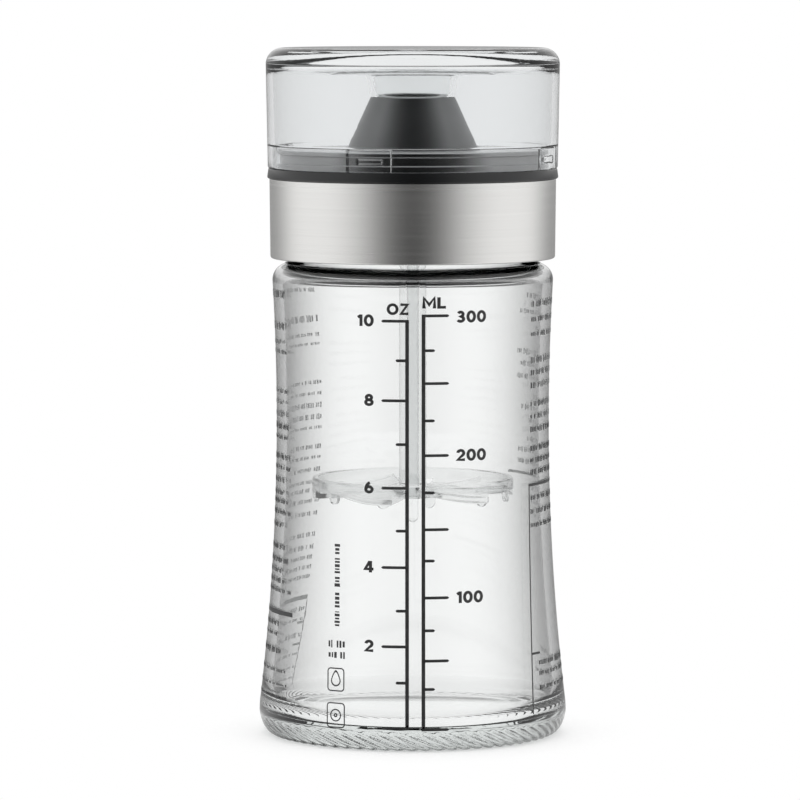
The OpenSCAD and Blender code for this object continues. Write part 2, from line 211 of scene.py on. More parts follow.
def arc(cx, cz, a, b, t0, t1, steps):
    """Points of an ellipse arc in the half plane, angles in degrees."""
    out = []
    for i in range(steps + 1):
        t = math.radians(t0 + (t1 - t0) * i / steps)
        out.append((cx + a * math.cos(t), cz + b * math.sin(t)))
    return out


def rounded(points, radius, steps=3, loop=True):
    """The profile with every corner rounded; a point may carry its own radius."""
    out = []
    count = len(points)
    for i, p in enumerate(points):
        r = p[2] if len(p) > 2 else radius
        here = Vector(p[:2])
        if not loop and i in (0, count - 1):
            out.append((here.x, here.y))
            continue
        before, after = Vector(points[i - 1][:2]), Vector(points[(i + 1) % count][:2])
        if here.x < 1e-6 or r <= 0:
            out.append((here.x, here.y))
            continue
        a, b = before - here, after - here
        turn = a.angle(b, math.pi)
        if turn > math.radians(172):
            out.append((here.x, here.y))
            continue
        reach = min(r / math.tan(turn / 2), 0.45 * a.length, 0.45 * b.length)
        start, end = here + a.normalized() * reach, here + b.normalized() * reach
        for k in range(steps + 1):
            t = k / steps
            q = start * (1 - t) ** 2 + here * 2 * t * (1 - t) + end * t * t
            out.append((q.x, q.y))
    return out


def even_angles(count):
    return [FULL * i / count for i in range(count)]


def finished(obj, material, body, replaces=(), sharp=32):
    """Gives a piece its shading, material and body, and hides the CAD parts that it stands in for."""
    mesh = obj.data
    mesh.polygons.foreach_set("use_smooth", [True] * len(mesh.polygons))
    mesh.set_sharp_from_angle(angle=math.radians(sharp))
    mesh.materials.clear()
    mesh.materials.append(material)
    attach(obj, body)
    if replaces:
        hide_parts(*replaces)
    return obj


def object_from(name, verts, faces, outward=True):
    mesh = bpy.data.meshes.new(name)
    mesh.from_pydata(verts, [], faces)
    bm = bmesh.new()
    bm.from_mesh(mesh)
    bmesh.ops.remove_doubles(bm, verts=bm.verts, dist=1e-7)
    if outward:
        bmesh.ops.recalc_face_normals(bm, faces=bm.faces)
    bm.to_mesh(mesh)
    bm.free()
    obj = bpy.data.objects.new(name, mesh)
    bpy.context.scene.collection.objects.link(obj)
    return obj


def turned(name, profile, angles, shape=None):
    """Closed solid of revolution in metres from a profile in millimetres.

    A profile that starts and ends on the axis is closed there by poles, any other one is a loop.
    shape(index, r, z, angle) may give each point another radius and height.
    """
    on_axis = profile[0][0] < 1e-6 and profile[-1][0] < 1e-6
    verts, rings, faces = [], [], []
    for i, (r, z) in enumerate(profile):
        if r < 1e-6:
            rings.append([len(verts)] * len(angles))
            verts.append((0.0, 0.0, z * MM))
            continue
        ring = []
        for a in angles:
            rr, zz = shape(i, r, z, a) if shape else (r, z)
            ring.append(len(verts))
            verts.append((rr * math.cos(a) * MM, rr * math.sin(a) * MM, zz * MM))
        rings.append(ring)
    count = len(angles)
    pairs = range(len(rings) - 1 if on_axis else len(rings))
    for i in pairs:
        low, high = rings[i], rings[(i + 1) % len(rings)]
        for j in range(count):
            k = (j + 1) % count
            corners = [low[j], low[k], high[k], high[j]]
            unique = list(dict.fromkeys(corners))
            if len(unique) > 2:
                faces.append(unique)
    return object_from(name, verts, faces)


def smoothstep(x):
    x = min(max(x, 0.0), 1.0)
    return x * x * (3 - 2 * x)


def front_angle(degrees):
    """Angle about the axis of a direction that is turned from the front, which is -Y, towards +X."""
    return math.radians(degrees - 90)


def angle_gap(a, b):
    return (a - b + math.pi) % FULL - math.pi


# ---- Material helpers ----

class Nodes:
    """A material's or a world's node tree with short calls."""

    def __init__(self, owner):
        owner.use_nodes = True
        self.tree = owner.node_tree
        self.tree.nodes.clear()

    def add(self, kind, **values):
        node = self.tree.nodes.new(kind)
        for key, value in values.items():
            setattr(node, key, value)
        return node

    def put(self, node, **values):
        for key, value in values.items():
            name = key.replace("_", " ")
            target = node.inputs[name]
            if isinstance(value, bpy.types.NodeSocket):
                self.tree.links.new(value, target)
            else:
                target.default_value = value
        return node

    def link(self, a, b):
        self.tree.links.new(a, b)

    def math(self, operation, a, b=None, clamp=False):
        node = self.add("ShaderNodeMath", operation=operation, use_clamp=clamp)
        for i, v in enumerate((a, b)):
            if v is None:
                continue
            if isinstance(v, bpy.types.NodeSocket):
                self.link(v, node.inputs[i])
            else:
                node.inputs[i].default_value = v
        return node.outputs[0]

    def object_coords(self, scale=(1, 1, 1)):
        coords = self.add("ShaderNodeTexCoord")
        mapping = self.add("ShaderNodeMapping")
        self.link(coords.outputs["Object"], mapping.inputs["Vector"])
        mapping.inputs["Scale"].default_value = scale
        return mapping.outputs["Vector"]

    def noise(self, vector, scale, detail=3.0, roughness=0.5):
        node = self.add("ShaderNodeTexNoise")
        self.link(vector, node.inputs["Vector"])
        node.inputs["Scale"].default_value = scale
        node.inputs["Detail"].default_value = detail
        node.inputs["Roughness"].default_value = roughness
        return node.outputs["Fac"]

    def spread(self, value, low, high):
        node = self.add("ShaderNodeMapRange")
        self.link(value, node.inputs["Value"])
        node.inputs["From Min"].default_value = 0.3
        node.inputs["From Max"].default_value = 0.7
        node.inputs["To Min"].default_value = low
        node.inputs["To Max"].default_value = high
        return node.outputs["Result"]

    def bump(self, height, strength, distance, under=None):
        node = self.add("ShaderNodeBump")
        node.inputs["Strength"].default_value = strength
        node.inputs["Distance"].default_value = distance
        self.link(height, node.inputs["Height"])
        if under:
            self.link(under, node.inputs["Normal"])
        return node.outputs["Normal"]

    def tinted(self, value, dark, light):
        node = self.add("ShaderNodeMix", data_type="RGBA")
        self.link(value, node.inputs["Factor"])
        node.inputs["A"].default_value = (*dark, 1)
        node.inputs["B"].default_value = (*light, 1)
        return node.outputs["Result"]

    def principled(self):
        return self.add("ShaderNodeBsdfPrincipled")

    def out(self, surface, volume=None, kind="ShaderNodeOutputMaterial"):
        node = self.add(kind)
        self.link(surface, node.inputs["Surface"])
        if volume:
            self.link(volume, node.inputs["Volume"])


def shade(colour, factor):
    return tuple(c * factor for c in colour)


def clear_material(name, tint, density, ior, roughness, wave, wave_scale, face, edge):
    """Clear glass or plastic: it bends light, and upright walls get a painted shade, a darker base colour
    where they turn away.
    """
    mat = bpy.data.materials.new(name)
    n = Nodes(mat)
    where = n.object_coords()
    slow = n.noise(where, wave_scale, 1.5)
    fine = n.noise(where, wave_scale * 9, 2.0)
    slant = n.add("ShaderNodeLayerWeight")
    slant.inputs["Blend"].default_value = 0.5
    way = n.add("ShaderNodeSeparateXYZ")
    n.link(n.add("ShaderNodeNewGeometry").outputs["Normal"], way.inputs[0])
    upright = n.math("SUBTRACT", 1.0, n.math("MULTIPLY", way.outputs[2], way.outputs[2]))
    # Painted shade: the base colour darkens where an upright wall turns away from the view, standing in
    # for the dark edges of the glass.
    away = n.math("MULTIPLY", n.math("MULTIPLY", slant.outputs["Facing"],
                                     slant.outputs["Facing"]), upright)
    painted_edge_shade = n.math("EXPONENT", n.math("MULTIPLY", away, -edge))
    body = n.principled()
    n.put(body, Base_Color=n.tinted(painted_edge_shade, (0, 0, 0), face),
          Roughness=n.spread(slow, roughness, roughness * 1.2))
    if wave > 0:
        n.link(n.bump(fine, 0.02, 0.0002, n.bump(slow, wave, 0.001)), body.inputs["Normal"])
    body.inputs["IOR"].default_value = ior
    body.inputs["Transmission Weight"].default_value = 1.0
    light = n.add("ShaderNodeLightPath")
    thin = n.add("ShaderNodeBsdfTransparent")
    thin.inputs["Color"].default_value = (*[0.55 + 0.45 * c for c in tint], 1)
    mix = n.add("ShaderNodeMixShader")
    n.link(light.outputs["Is Shadow Ray"], mix.inputs[0])
    n.link(body.outputs[0], mix.inputs[1])
    n.link(thin.outputs[0], mix.inputs[2])
    soak = n.add("ShaderNodeVolumeAbsorption")
    soak.inputs["Color"].default_value = (*tint, 1)
    soak.inputs["Density"].default_value = density
    n.out(mix.outputs[0], soak.outputs[0])
    return mat


def steel_material(colour):
    """Stainless steel brushed round the axis."""
    mat = bpy.data.materials.new("brushed_steel")
    n = Nodes(mat)
    streak = n.noise(n.object_coords((9, 9, 5200)), 1.0, 4.0, 0.65)
    broad = n.noise(n.object_coords((3, 3, 900)), 1.0, 2.0)
    body = n.principled()
    n.put(body, Metallic=1.0,
          Base_Color=n.tinted(streak, shade(colour, 0.94), shade(colour, 1.04)),
          Roughness=n.spread(broad, 0.22, 0.28),
          Normal=n.bump(streak, 0.05, 0.00005))
    body.inputs["Anisotropic"].default_value = 0.55
    tangent = n.add("ShaderNodeTangent", direction_type="RADIAL", axis="Z")
    n.link(tangent.outputs[0], body.inputs["Tangent"])
    n.out(body.outputs[0])
    return mat


def plastic_material(name, colour, rough, grain, strength, ior, painted_sheen=0.0, slants=(0.05, 0.32),
                     from_z=None):
    """Moulded plastic with a fine grain; a painted sheen makes its slanted faces paler, from a height on
    if given.
    """
    mat = bpy.data.materials.new(name)
    n = Nodes(mat)
    where = n.object_coords()
    cloud = n.noise(where, 60, 3.0)
    fine = n.noise(where, grain, 2.0, 0.6)
    # Painted sheen: the base colour turns paler on faces slanted to the view, in place of a real
    # reflection.
    slant = n.add("ShaderNodeLayerWeight")
    slant.inputs["Blend"].default_value = 0.5
    pale = n.add("ShaderNodeMapRange", interpolation_type="SMOOTHSTEP")
    n.link(slant.outputs["Facing"], pale.inputs["Value"])
    pale.inputs["From Min"].default_value, pale.inputs["From Max"].default_value = slants
    share = pale.outputs["Result"]
    # Height mask: the painted sheen shows only above from_z.
    if from_z is not None:
        place = n.add("ShaderNodeSeparateXYZ")
        n.link(n.add("ShaderNodeTexCoord").outputs["Object"], place.inputs[0])
        share = n.math("MULTIPLY", share, n.math("GREATER_THAN", place.outputs[2], from_z))
    share = n.math("MULTIPLY", share, n.spread(cloud, 0.92, 1.08))
    body = n.principled()
    n.put(body, Base_Color=n.tinted(share, colour, tuple(c + painted_sheen for c in colour)),
          Roughness=n.spread(cloud, rough * 0.92, rough * 1.1),
          Normal=n.bump(fine, strength, 0.00008, n.bump(cloud, 0.03, 0.0005)))
    body.inputs["IOR"].default_value = ior
    n.out(body.outputs[0])
    return mat


def silicone_material(name, colour, through, rough):
    """Milky soft silicone."""
    mat = bpy.data.materials.new(name)
    n = Nodes(mat)
    where = n.object_coords()
    cloud = n.noise(where, 90, 3.0)
    fine = n.noise(where, 2600, 2.0)
    body = n.principled()
    n.put(body, Base_Color=n.tinted(cloud, shade(colour, 0.94), shade(colour, 1.05)),
          Roughness=n.spread(cloud, rough * 0.9, rough * 1.15),
          Normal=n.bump(fine, 0.08, 0.00006))
    body.inputs["Transmission Weight"].default_value = through
    body.inputs["IOR"].default_value = 1.18 if through > 0 else 1.41
    n.out(body.outputs[0])
    return mat


def ink_material(colour):
    """Screen-printed ink with faint pinholes and an uneven gloss; its back face, seen through the glass,
    is painted pale grey as painted light.
    """
    mat = bpy.data.materials.new("printed_ink")
    n = Nodes(mat)
    where = n.object_coords()
    cloud = n.noise(where, 900, 3.0)
    outward = n.add("ShaderNodeVectorMath", operation="DOT_PRODUCT")
    n.link(n.add("ShaderNodeNewGeometry").outputs["Normal"], outward.inputs[0])
    n.link(n.add("ShaderNodeTexCoord").outputs["Object"], outward.inputs[1])
    # Painted light: faces turned towards the axis, the ink's back seen through the glass, take a pale grey
    # in place of the light they lack.
    behind = n.math("LESS_THAN", outward.outputs["Value"], 0.0)
    share = n.math("ADD", n.math("MULTIPLY", behind, 0.8), n.math("MULTIPLY", cloud, 0.04))
    body = n.principled()
    n.put(body, Base_Color=n.tinted(share, shade(colour, 0.8), (0.85, 0.86, 0.86)),
          Roughness=n.spread(cloud, 0.42, 0.58), Normal=n.bump(cloud, 0.05, 0.00002))
    n.out(body.outputs[0])
    return mat


def kept(name):
    """A material that is made once and asked for by name after that."""
    found = bpy.data.materials.get(name)
    if found:
        return found
    f = bpy.context.scene.shaker_finishes
    makers = {
        # Painted shade: the last two values are the base colour face-on and how fast upright walls darken
        # towards their edges.
        "clear_glass": lambda: clear_material(name, tuple(f.glass), 16, 1.5, 0.0, 0.03, 55,
                                              (0.985, 0.99, 0.988), 2.6),
        "clear_cap": lambda: clear_material(name, tuple(f.cap), 2, 1.3, 0.0, 0.02, 70,
                                            (0.88, 0.89, 0.895), 0.4),
        "clear_mixer": lambda: clear_material(name, tuple(f.glass), 2, 1.18, 0.12, 0.0, 120,
                                              (0.90, 0.905, 0.905), 0.5),
        "clear_core": lambda: clear_material(name, tuple(f.glass), 2, 1.3, 0.0, 0.0, 120,
                                             (0.985, 0.99, 0.99), 0.5),
        "brushed_steel": lambda: steel_material(tuple(f.steel)),
        # Painted sheen: the deck turns paler by 0.36 on slanted faces above the cap's foot; band and ring
        # below stay dark.
        "moulded_dark_painted_sheen": lambda: plastic_material(name, tuple(f.dark), 0.24, 3200, 0.06, 1.5,
                                                 0.36, (0.03, 0.22), CAP_Z * MM),
        # Painted sheen: the spout turns paler by 0.17 on slanted faces; its satin finish is the roughness.
        "satin_spout_painted_sheen": lambda: plastic_material(name, tuple(f.spout), 0.34, 4200, 0.04, 1.3,
                                                  0.17, (0.06, 0.30)),
        "milky_seal": lambda: silicone_material(name, tuple(f.seal), 0.97, 0.14),
        "grey_seal": lambda: silicone_material(name, (0.42, 0.43, 0.44), 0.0, 0.5),
        "printed_ink": lambda: ink_material(tuple(f.ink)),
    }
    return makers[name]()


# ---- Glass ----

def thread_ridge(angle, z, first_z, pitch, turns, half_width):
    """How much of the thread's ridge stands at this place, from 0 to 1."""
    place = (z - first_z) / pitch - (angle % FULL) / FULL
    turn = round(place)
    along = (angle % FULL) / FULL + turn
    if along < 0 or along > turns:
        return 0.0
    away = abs(place - turn) * pitch
    fade = smoothstep(along / 0.12) * smoothstep((turns - along) / 0.12)
    return fade * smoothstep((half_width - away) / (half_width * 0.55))


class SHAKER_OT_glass(bpy.types.Operator):
    """Glass bottle with its beaded foot, thick floor, shoulder and threaded neck"""
    bl_idname = "shaker.glass"
    bl_label = "Glass bottle"

    def execute(self, context):
        g = context.scene.shaker_glass
        wall, heel_z = g.wall / MM, g.heel_z / MM
        foot_r, foot_in_r = HEEL_R - 3.0, HEEL_R - 6.4
        corner, inner_corner = 4.0, 2.2
        shoulder_r = wall_r(SHOULDER_Z - corner)
        bore_r = NECK_R - 3.1
        floor_z, floor_round, rise, punt = 5.2, 6.0, 2.0, 3.2
        inner_low_r = wall_r(floor_z + floor_round) - wall
        outer = []
        steps = 10
        for i in range(steps + 1):
            t = i / steps
            outer.append((foot_in_r * t, punt * (1 - t * t)))
        outer += [(foot_in_r + 0.5, 0.0), (foot_r - 1.9, 0.0)]
        outer += arc(HEEL_R - HEEL_ROUND, heel_z, HEEL_ROUND, heel_z, -90, -8, 26)
        first, last = heel_z + 1.0, SHOULDER_Z - corner - 1.5
        for i in range(30):
            z = first + (last - first) * i / 29
            outer.append((wall_r(z), z))
        outer += arc(shoulder_r - corner, SHOULDER_Z - corner, corner, corner, 0, 82, 9)
        outer += [(NECK_R + 0.9, SHOULDER_Z + 0.1), (NECK_R + 0.25, SHOULDER_Z + 0.35),
                  (NECK_R, SHOULDER_Z + 1.0)]
        z = SHOULDER_Z + 2.0
        while z < RIM_Z - 1.2:
            outer.append((NECK_R, z))
            z += 0.42
        outer += [(NECK_R, RIM_Z - 1.0)]
        outer += arc(NECK_R - 0.9, RIM_Z - 0.9, 0.9, 0.9, 0, 90, 4)
        inner = arc(bore_r + 0.9, RIM_Z - 0.9, 0.9, 0.9, 90, 180, 4)
        inner += [(bore_r, SHOULDER_Z + 0.6), (bore_r + 0.15, SHOULDER_Z - wall + 0.7),
                  (bore_r + 0.7, SHOULDER_Z - wall)]
        top_r = shoulder_r - wall
        inner += arc(top_r - inner_corner, SHOULDER_Z - wall - inner_corner,
                     inner_corner, inner_corner, 88, 0, 6)
        low = floor_z + floor_round + 2.0
        high = SHOULDER_Z - wall - inner_corner - 1.5
        for i in range(26):
            z = high + (low - high) * i / 25
            inner.append((wall_r(z) - wall, z))
        inner += arc(inner_low_r - floor_round, floor_z + floor_round, floor_round,
                     floor_round, -4, -86, 10)
        for i in range(1, 9):
            t = 1 - i / 8
            inner.append(((inner_low_r - floor_round) * t, floor_z + rise * (1 - t * t)))
        profile = outer + inner
        depth, beads = g.bead_depth / MM, g.bead_count
        pitch = g.thread_pitch / MM

        def shape(i, r, z, a):
            if r > foot_r - 2.6 and z < heel_z - 1.2 and i < len(outer):
                lean = 0.62 * z
                wave = (beads * a / FULL + lean) % 1.0
                hollow = abs(math.sin(math.pi * wave)) ** 0.8
                near = smoothstep((r - (foot_r - 2.6)) / 1.2) * smoothstep((heel_z - 1.6 - z) / 1.6)
                cut = depth * near * (1 - hollow)
                return r - 0.55 * cut, z + 0.85 * cut
            if abs(r - NECK_R) < 0.01 and SHOULDER_Z + 1.5 < z < RIM_Z - 1.1:
                ridge = thread_ridge(a, z, SHOULDER_Z + 5.2, pitch, 1.7, 1.35)
                return r + 1.15 * ridge, z
            return r, z

        obj = turned("bottle_glass", profile, even_angles(528), shape)
        finished(obj, kept("clear_glass"), "bottle",
                 ("glass_bottle", "glass_neck"), 50)
        return {"FINISHED"}


# ---- Print ----

PRINT_LIMIT = 37.383             # farthest that ink may stand from the axis, mm


def on_glass(u, z, lift):
    """Point on the glass in metres: u mm along the surface from the front, at height z mm."""
    r = min(wall_r(z) + lift, PRINT_LIMIT)
    a = u / wall_r(z)
    return (r * math.sin(a) * MM, -r * math.cos(a) * MM, z * MM)


def printed(name, loops, gap=0.012, step=0.5):
    """Ink film on the glass from flat filled outlines; loops hold (u, z) points in millimetres."""
    film = bpy.context.scene.shaker_print.film / MM
    verts, faces = [], []
    for flat_verts, flat_faces in loops:
        bm = bmesh.new()
        made = [bm.verts.new((u, z, 0)) for u, z in flat_verts]
        for f in flat_faces:
            bm.faces.new([made[i] for i in f])
        bmesh.ops.triangulate(bm, faces=bm.faces)
        for _ in range(4):
            long_edges = [e for e in bm.edges
                          if abs(e.verts[0].co.x - e.verts[1].co.x) > step]
            if not long_edges:
                break
            bmesh.ops.subdivide_edges(bm, edges=long_edges, cuts=1, use_grid_fill=False)
            bmesh.ops.triangulate(bm, faces=bm.faces)
        bm.normal_update()
        bm.verts.index_update()
        base = len(verts)
        count = len(bm.verts)
        verts += [on_glass(v.co.x, v.co.y, gap + film) for v in bm.verts]
        verts += [on_glass(v.co.x, v.co.y, gap) for v in bm.verts]
        for f in bm.faces:
            ids = [v.index for v in f.verts]
            if f.normal.z < 0:
                ids.reverse()
            faces.append([base + i for i in ids])
            faces.append([base + count + i for i in reversed(ids)])
        for e in bm.edges:
            if e.is_boundary:
                a, b = e.verts[0].index, e.verts[1].index
                faces.append([base + a, base + b, base + count + b, base + count + a])
        bm.free()
    return object_from(name, verts, faces)


STROKE = 0.25


def ribbon(line, closed=False):
    """Flat band of the figures' stroke width along a line: points and faces."""
    count = len(line)
    points = []
    for i, (x, z) in enumerate(line):
        ways = []
        for a, b in ((i - 1, i), (i, i + 1)):
            if closed or (a >= 0 and b < count):
                (x0, z0), (x1, z1) = line[a % count], line[b % count]
                run = math.hypot(x1 - x0, z1 - z0)
                ways.append(((z0 - z1) / run, (x1 - x0) / run))
        across = (sum(w[0] for w in ways), sum(w[1] for w in ways))
        size = math.hypot(*across)
        across = (across[0] / size, across[1] / size)
        mitre = max(across[0] * ways[0][0] + across[1] * ways[0][1], 0.62)
        dx, dz = (c * STROKE / 2 / mitre for c in across)
        points += [(x - dx, z - dz), (x + dx, z + dz)]
    last = count if closed else count - 1
    faces = []
    for i in range(last):
        j = (i + 1) % count
        faces.append([2 * i, 2 * j, 2 * j + 1, 2 * i + 1])
    return points, faces


def glyph(sign):
    """Width and bands of one figure or capital, one unit high."""
    def loop(cx, cz, a, b):
        return ribbon(arc(cx, cz, a, b, 0, 360, 26)[:-1], True)
    if sign == "0":
        return 0.74, [loop(0.37, 0.5, 0.275, 0.405)]
    if sign == "1":
        return 0.42, [ribbon([(0.30, 1.0), (0.30, 0.0)]), ribbon([(0.04, 0.76), (0.30, 0.92)])]
    if sign == "2":
        return 0.70, [ribbon(arc(0.34, 0.665, 0.24, 0.24, 172, -38, 14)
                             + [(0.10, 0.095), (0.68, 0.095)])]
    if sign == "3":
        return 0.68, [ribbon(arc(0.31, 0.71, 0.20, 0.195, 155, -90, 12)
                             + arc(0.31, 0.30, 0.245, 0.205, 90, -155, 14)[1:])]
    if sign == "4":
        return 0.76, [ribbon([(0.47, 0.95), (0.10, 0.30), (0.76, 0.30)]),
                      ribbon([(0.52, 1.0), (0.52, 0.0)])]
    if sign == "6":
        return 0.72, [loop(0.36, 0.325, 0.25, 0.23),
                      ribbon(arc(0.56, 0.325, 0.45, 0.60, 180, 106, 10))]
    if sign == "8":
        return 0.72, [loop(0.36, 0.715, 0.205, 0.19), loop(0.36, 0.30, 0.255, 0.205)]
    if sign == "O":
        return 0.92, [loop(0.46, 0.5, 0.365, 0.405)]
    if sign == "Z":
        return 0.74, [ribbon([(0.05, 0.905), (0.62, 0.905), (0.10, 0.095), (0.70, 0.095)])]
    if sign == "M":
        return 0.94, [ribbon([(0.095, 0.0), (0.095, 0.94), (0.47, 0.32), (0.845, 0.94),
                              (0.845, 0.0)])]
    return 0.60, [ribbon([(0.095, 1.0), (0.095, 0.095), (0.60, 0.095)])]


def lettered(text, u, z, height, width=None, right=False):
    """Bands of a short text on the glass from a place on, or up to it; width in millimetres."""
    gap, at, bands = 0.13, 0.0, []
    for sign in text:
        wide, parts = glyph(sign)
        bands += [([(at + x, y) for x, y in points], faces) for points, faces in parts]
        at += wide + gap
    at -= gap
    kx = width / at if width else height * 1.14
    start = u - at * kx if right else u
    return [([(start + x * kx, z + y * height) for x, y in points], faces)
            for points, faces in bands]


def front_u(pixel):
    """Distance along the glass from the front, in millimetres, of an upright line of the photograph."""
    x = (pixel - 400) * 0.2358 - 3.09
    return wall_r(77) * math.asin(x / wall_r(77))


def pixel_z(row, near):
    """Height of a row of the photograph on a surface that is near mm in front of the axis."""
    s = bpy.context.scene.shaker_studio
    tilt = math.atan((s.camera_z - s.look_z) / s.camera_y)
    drop = math.tan(tilt + math.atan((row - 400) * 36 / 800 / s.lens))
    return s.camera_z / MM - (s.camera_y / MM - near) * drop


OZ_HEIGHTS = (5.9, 16.59, 25.12, 33.57, 43.85, 52.53, 62.68, 73.06, 83.46, 92.99, 102.37)
ML_HEIGHTS = (5.57, 15.08, 21.76, 28.93, 36.67, 45.43, 52.84, 61.59, 70.42, 78.69, 87.55,
              95.37, 103.63)


def wrap_tree(name, build):
    """Node tree that lays flat geometry on the glass: X runs round it, Y up it and Z off it."""
    tree = bpy.data.node_groups.new(name, "GeometryNodeTree")
    face = tree.interface
    face.new_socket(name="Geometry", in_out="INPUT", socket_type="NodeSocketGeometry")
    for label in ("Waist radius", "Waist height", "Arc radius", "Heel height", "Heel round",
                  "Film"):
        face.new_socket(name=label, in_out="INPUT", socket_type="NodeSocketFloat")
    extra = build(None, None, None)
    for label, kind in extra:
        face.new_socket(name=label, in_out="INPUT", socket_type=kind)
    face.new_socket(name="Ink", in_out="INPUT", socket_type="NodeSocketMaterial")
    face.new_socket(name="Geometry", in_out="OUTPUT", socket_type="NodeSocketGeometry")
    nodes, links = tree.nodes, tree.links
    given = nodes.new("NodeGroupInput")
    result = nodes.new("NodeGroupOutput")

    def calc(operation, a, b=None):
        node = nodes.new("ShaderNodeMath")
        node.operation = operation
        for i, v in enumerate((a, b)):
            if v is None:
                continue
            if isinstance(v, bpy.types.NodeSocket):
                links.new(v, node.inputs[i])
            else:
                node.inputs[i].default_value = v
        return node.outputs[0]

    flat = build(tree, given, calc)
    real = nodes.new("GeometryNodeRealizeInstances")
    links.new(flat, real.inputs[0])
    where = nodes.new("GeometryNodeInputPosition")
    split = nodes.new("ShaderNodeSeparateXYZ")
    links.new(where.outputs[0], split.inputs[0])
    u, up, off = split.outputs
    arc_r = given.outputs["Arc radius"]
    heel = given.outputs["Heel height"]
    above = calc("SUBTRACT", calc("MAXIMUM", up, heel), given.outputs["Waist height"])
    drop = calc("SQRT", calc("SUBTRACT", calc("MULTIPLY", arc_r, arc_r),
                             calc("MULTIPLY", above, above)))
    r = calc("SUBTRACT", calc("ADD", given.outputs["Waist radius"], arc_r), drop)
    under = calc("DIVIDE", calc("MAXIMUM", calc("SUBTRACT", heel, up), 0.0), heel)
    tuck = calc("SUBTRACT", 1.0, calc("SQRT", calc("SUBTRACT", 1.0,
                                                    calc("MULTIPLY", under, under))))
    r = calc("SUBTRACT", r, calc("MULTIPLY", given.outputs["Heel round"], tuck))
    turn = calc("DIVIDE", u, r)
    r_off = calc("MINIMUM", calc("ADD", r, off), PRINT_LIMIT * MM)
    join = nodes.new("ShaderNodeCombineXYZ")
    links.new(calc("MULTIPLY", r_off, calc("SINE", turn)), join.inputs[0])
    links.new(calc("MULTIPLY", calc("MULTIPLY", r_off, calc("COSINE", turn)), -1.0),
              join.inputs[1])
    links.new(up, join.inputs[2])
    move = nodes.new("GeometryNodeSetPosition")
    links.new(real.outputs[0], move.inputs["Geometry"])
    links.new(join.outputs[0], move.inputs["Position"])
    colour = nodes.new("GeometryNodeSetMaterial")
    links.new(move.outputs[0], colour.inputs["Geometry"])
    links.new(given.outputs["Ink"], colour.inputs["Material"])
    links.new(colour.outputs[0], result.inputs[0])
    return tree


def film_of(tree, geometry, thickness):
    """Closed thin slab from flat faces: their copy lifted by the film, joined by its sides."""
    nodes, links = tree.nodes, tree.links
    lift = nodes.new("GeometryNodeExtrudeMesh")
    lift.inputs["Individual"].default_value = False
    links.new(geometry, lift.inputs["Mesh"])
    links.new(thickness, lift.inputs["Offset Scale"])
    back = nodes.new("GeometryNodeFlipFaces")
    links.new(geometry, back.inputs[0])
    join = nodes.new("GeometryNodeJoinGeometry")
    links.new(lift.outputs["Mesh"], join.inputs[0])
    links.new(back.outputs[0], join.inputs[0])
    weld = nodes.new("GeometryNodeMergeByDistance")
    weld.inputs["Distance"].default_value = 1e-6
    links.new(join.outputs[0], weld.inputs["Geometry"])
    return weld.outputs[0]


def round_bar(tree, width, height):
    """Flat bar with round ends, cut into short pieces so that it bends round the glass."""
    nodes, links = tree.nodes, tree.links
    frame_curve = nodes.new("GeometryNodeCurvePrimitiveQuadrilateral")
    links.new(width, frame_curve.inputs["Width"])
    links.new(height, frame_curve.inputs["Height"])
    soften = nodes.new("GeometryNodeFilletCurve")
    soften.inputs["Limit Radius"].default_value = True
    links.new(frame_curve.outputs[0], soften.inputs["Curve"])
    half = nodes.new("ShaderNodeMath")
    half.operation = "MULTIPLY"
    half.inputs[1].default_value = 0.5
    links.new(height, half.inputs[0])
    links.new(half.outputs[0], soften.inputs["Radius"])
    if "Count" in soften.inputs:
        soften.inputs["Count"].default_value = 4
    even = nodes.new("GeometryNodeResampleCurve")
    if "Mode" in even.inputs:
        even.inputs["Mode"].default_value = "Length"
    else:
        even.mode = "LENGTH"
    even.inputs["Length"].default_value = 0.3 * MM
    links.new(soften.outputs[0], even.inputs["Curve"])
    fill = nodes.new("GeometryNodeFillCurve")
    links.new(even.outputs[0], fill.inputs[0])
    return fill.outputs[0]


def evaluated_mesh(obj, tree, values):
    """Runs a node tree on an object and leaves the plain mesh; values go in by socket identifier."""
    mod = obj.modifiers.new("layout", "NODES")
    mod.node_group = tree
    ids = {s.name: s.identifier for s in tree.interface.items_tree
           if s.item_type == "SOCKET" and s.in_out == "INPUT"}
    for name, value in values.items():
        mod[ids[name]] = value
    graph = bpy.context.evaluated_depsgraph_get()
    graph.update()
    mesh = bpy.data.meshes.new_from_object(obj.evaluated_get(graph))
    obj.modifiers.remove(mod)
    old = obj.data
    obj.data = mesh
    bpy.data.meshes.remove(old)
    bm = bmesh.new()
    bm.from_mesh(mesh)
    bmesh.ops.recalc_face_normals(bm, faces=bm.faces)
    bm.to_mesh(mesh)
    bm.free()
    return obj


def glass_values():
    g = bpy.context.scene.shaker_glass
    run, flare = g.waist_z - g.heel_z, HEEL_R * MM - g.waist_r
    return {
        "Waist radius": g.waist_r + 0.012 * MM,
        "Waist height": g.waist_z,
        "Arc radius": (run * run + flare * flare) / (2 * flare),
        "Heel height": g.heel_z,
        "Heel round": HEEL_ROUND * MM,
        "Film": bpy.context.scene.shaker_print.film,
        "Ink": kept("printed_ink"),
    }


def points_object(name, points, **fields):
    """Loose points in metres that carry named values, for a node tree to build on."""
    mesh = bpy.data.meshes.new(name)
    mesh.from_pydata(points, [], [])
    for key, values in fields.items():
        layer = mesh.attributes.new(key, "FLOAT", "POINT")
        layer.data.foreach_set("value", values)
    obj = bpy.data.objects.new(name, mesh)
    bpy.context.scene.collection.objects.link(obj)
    return obj


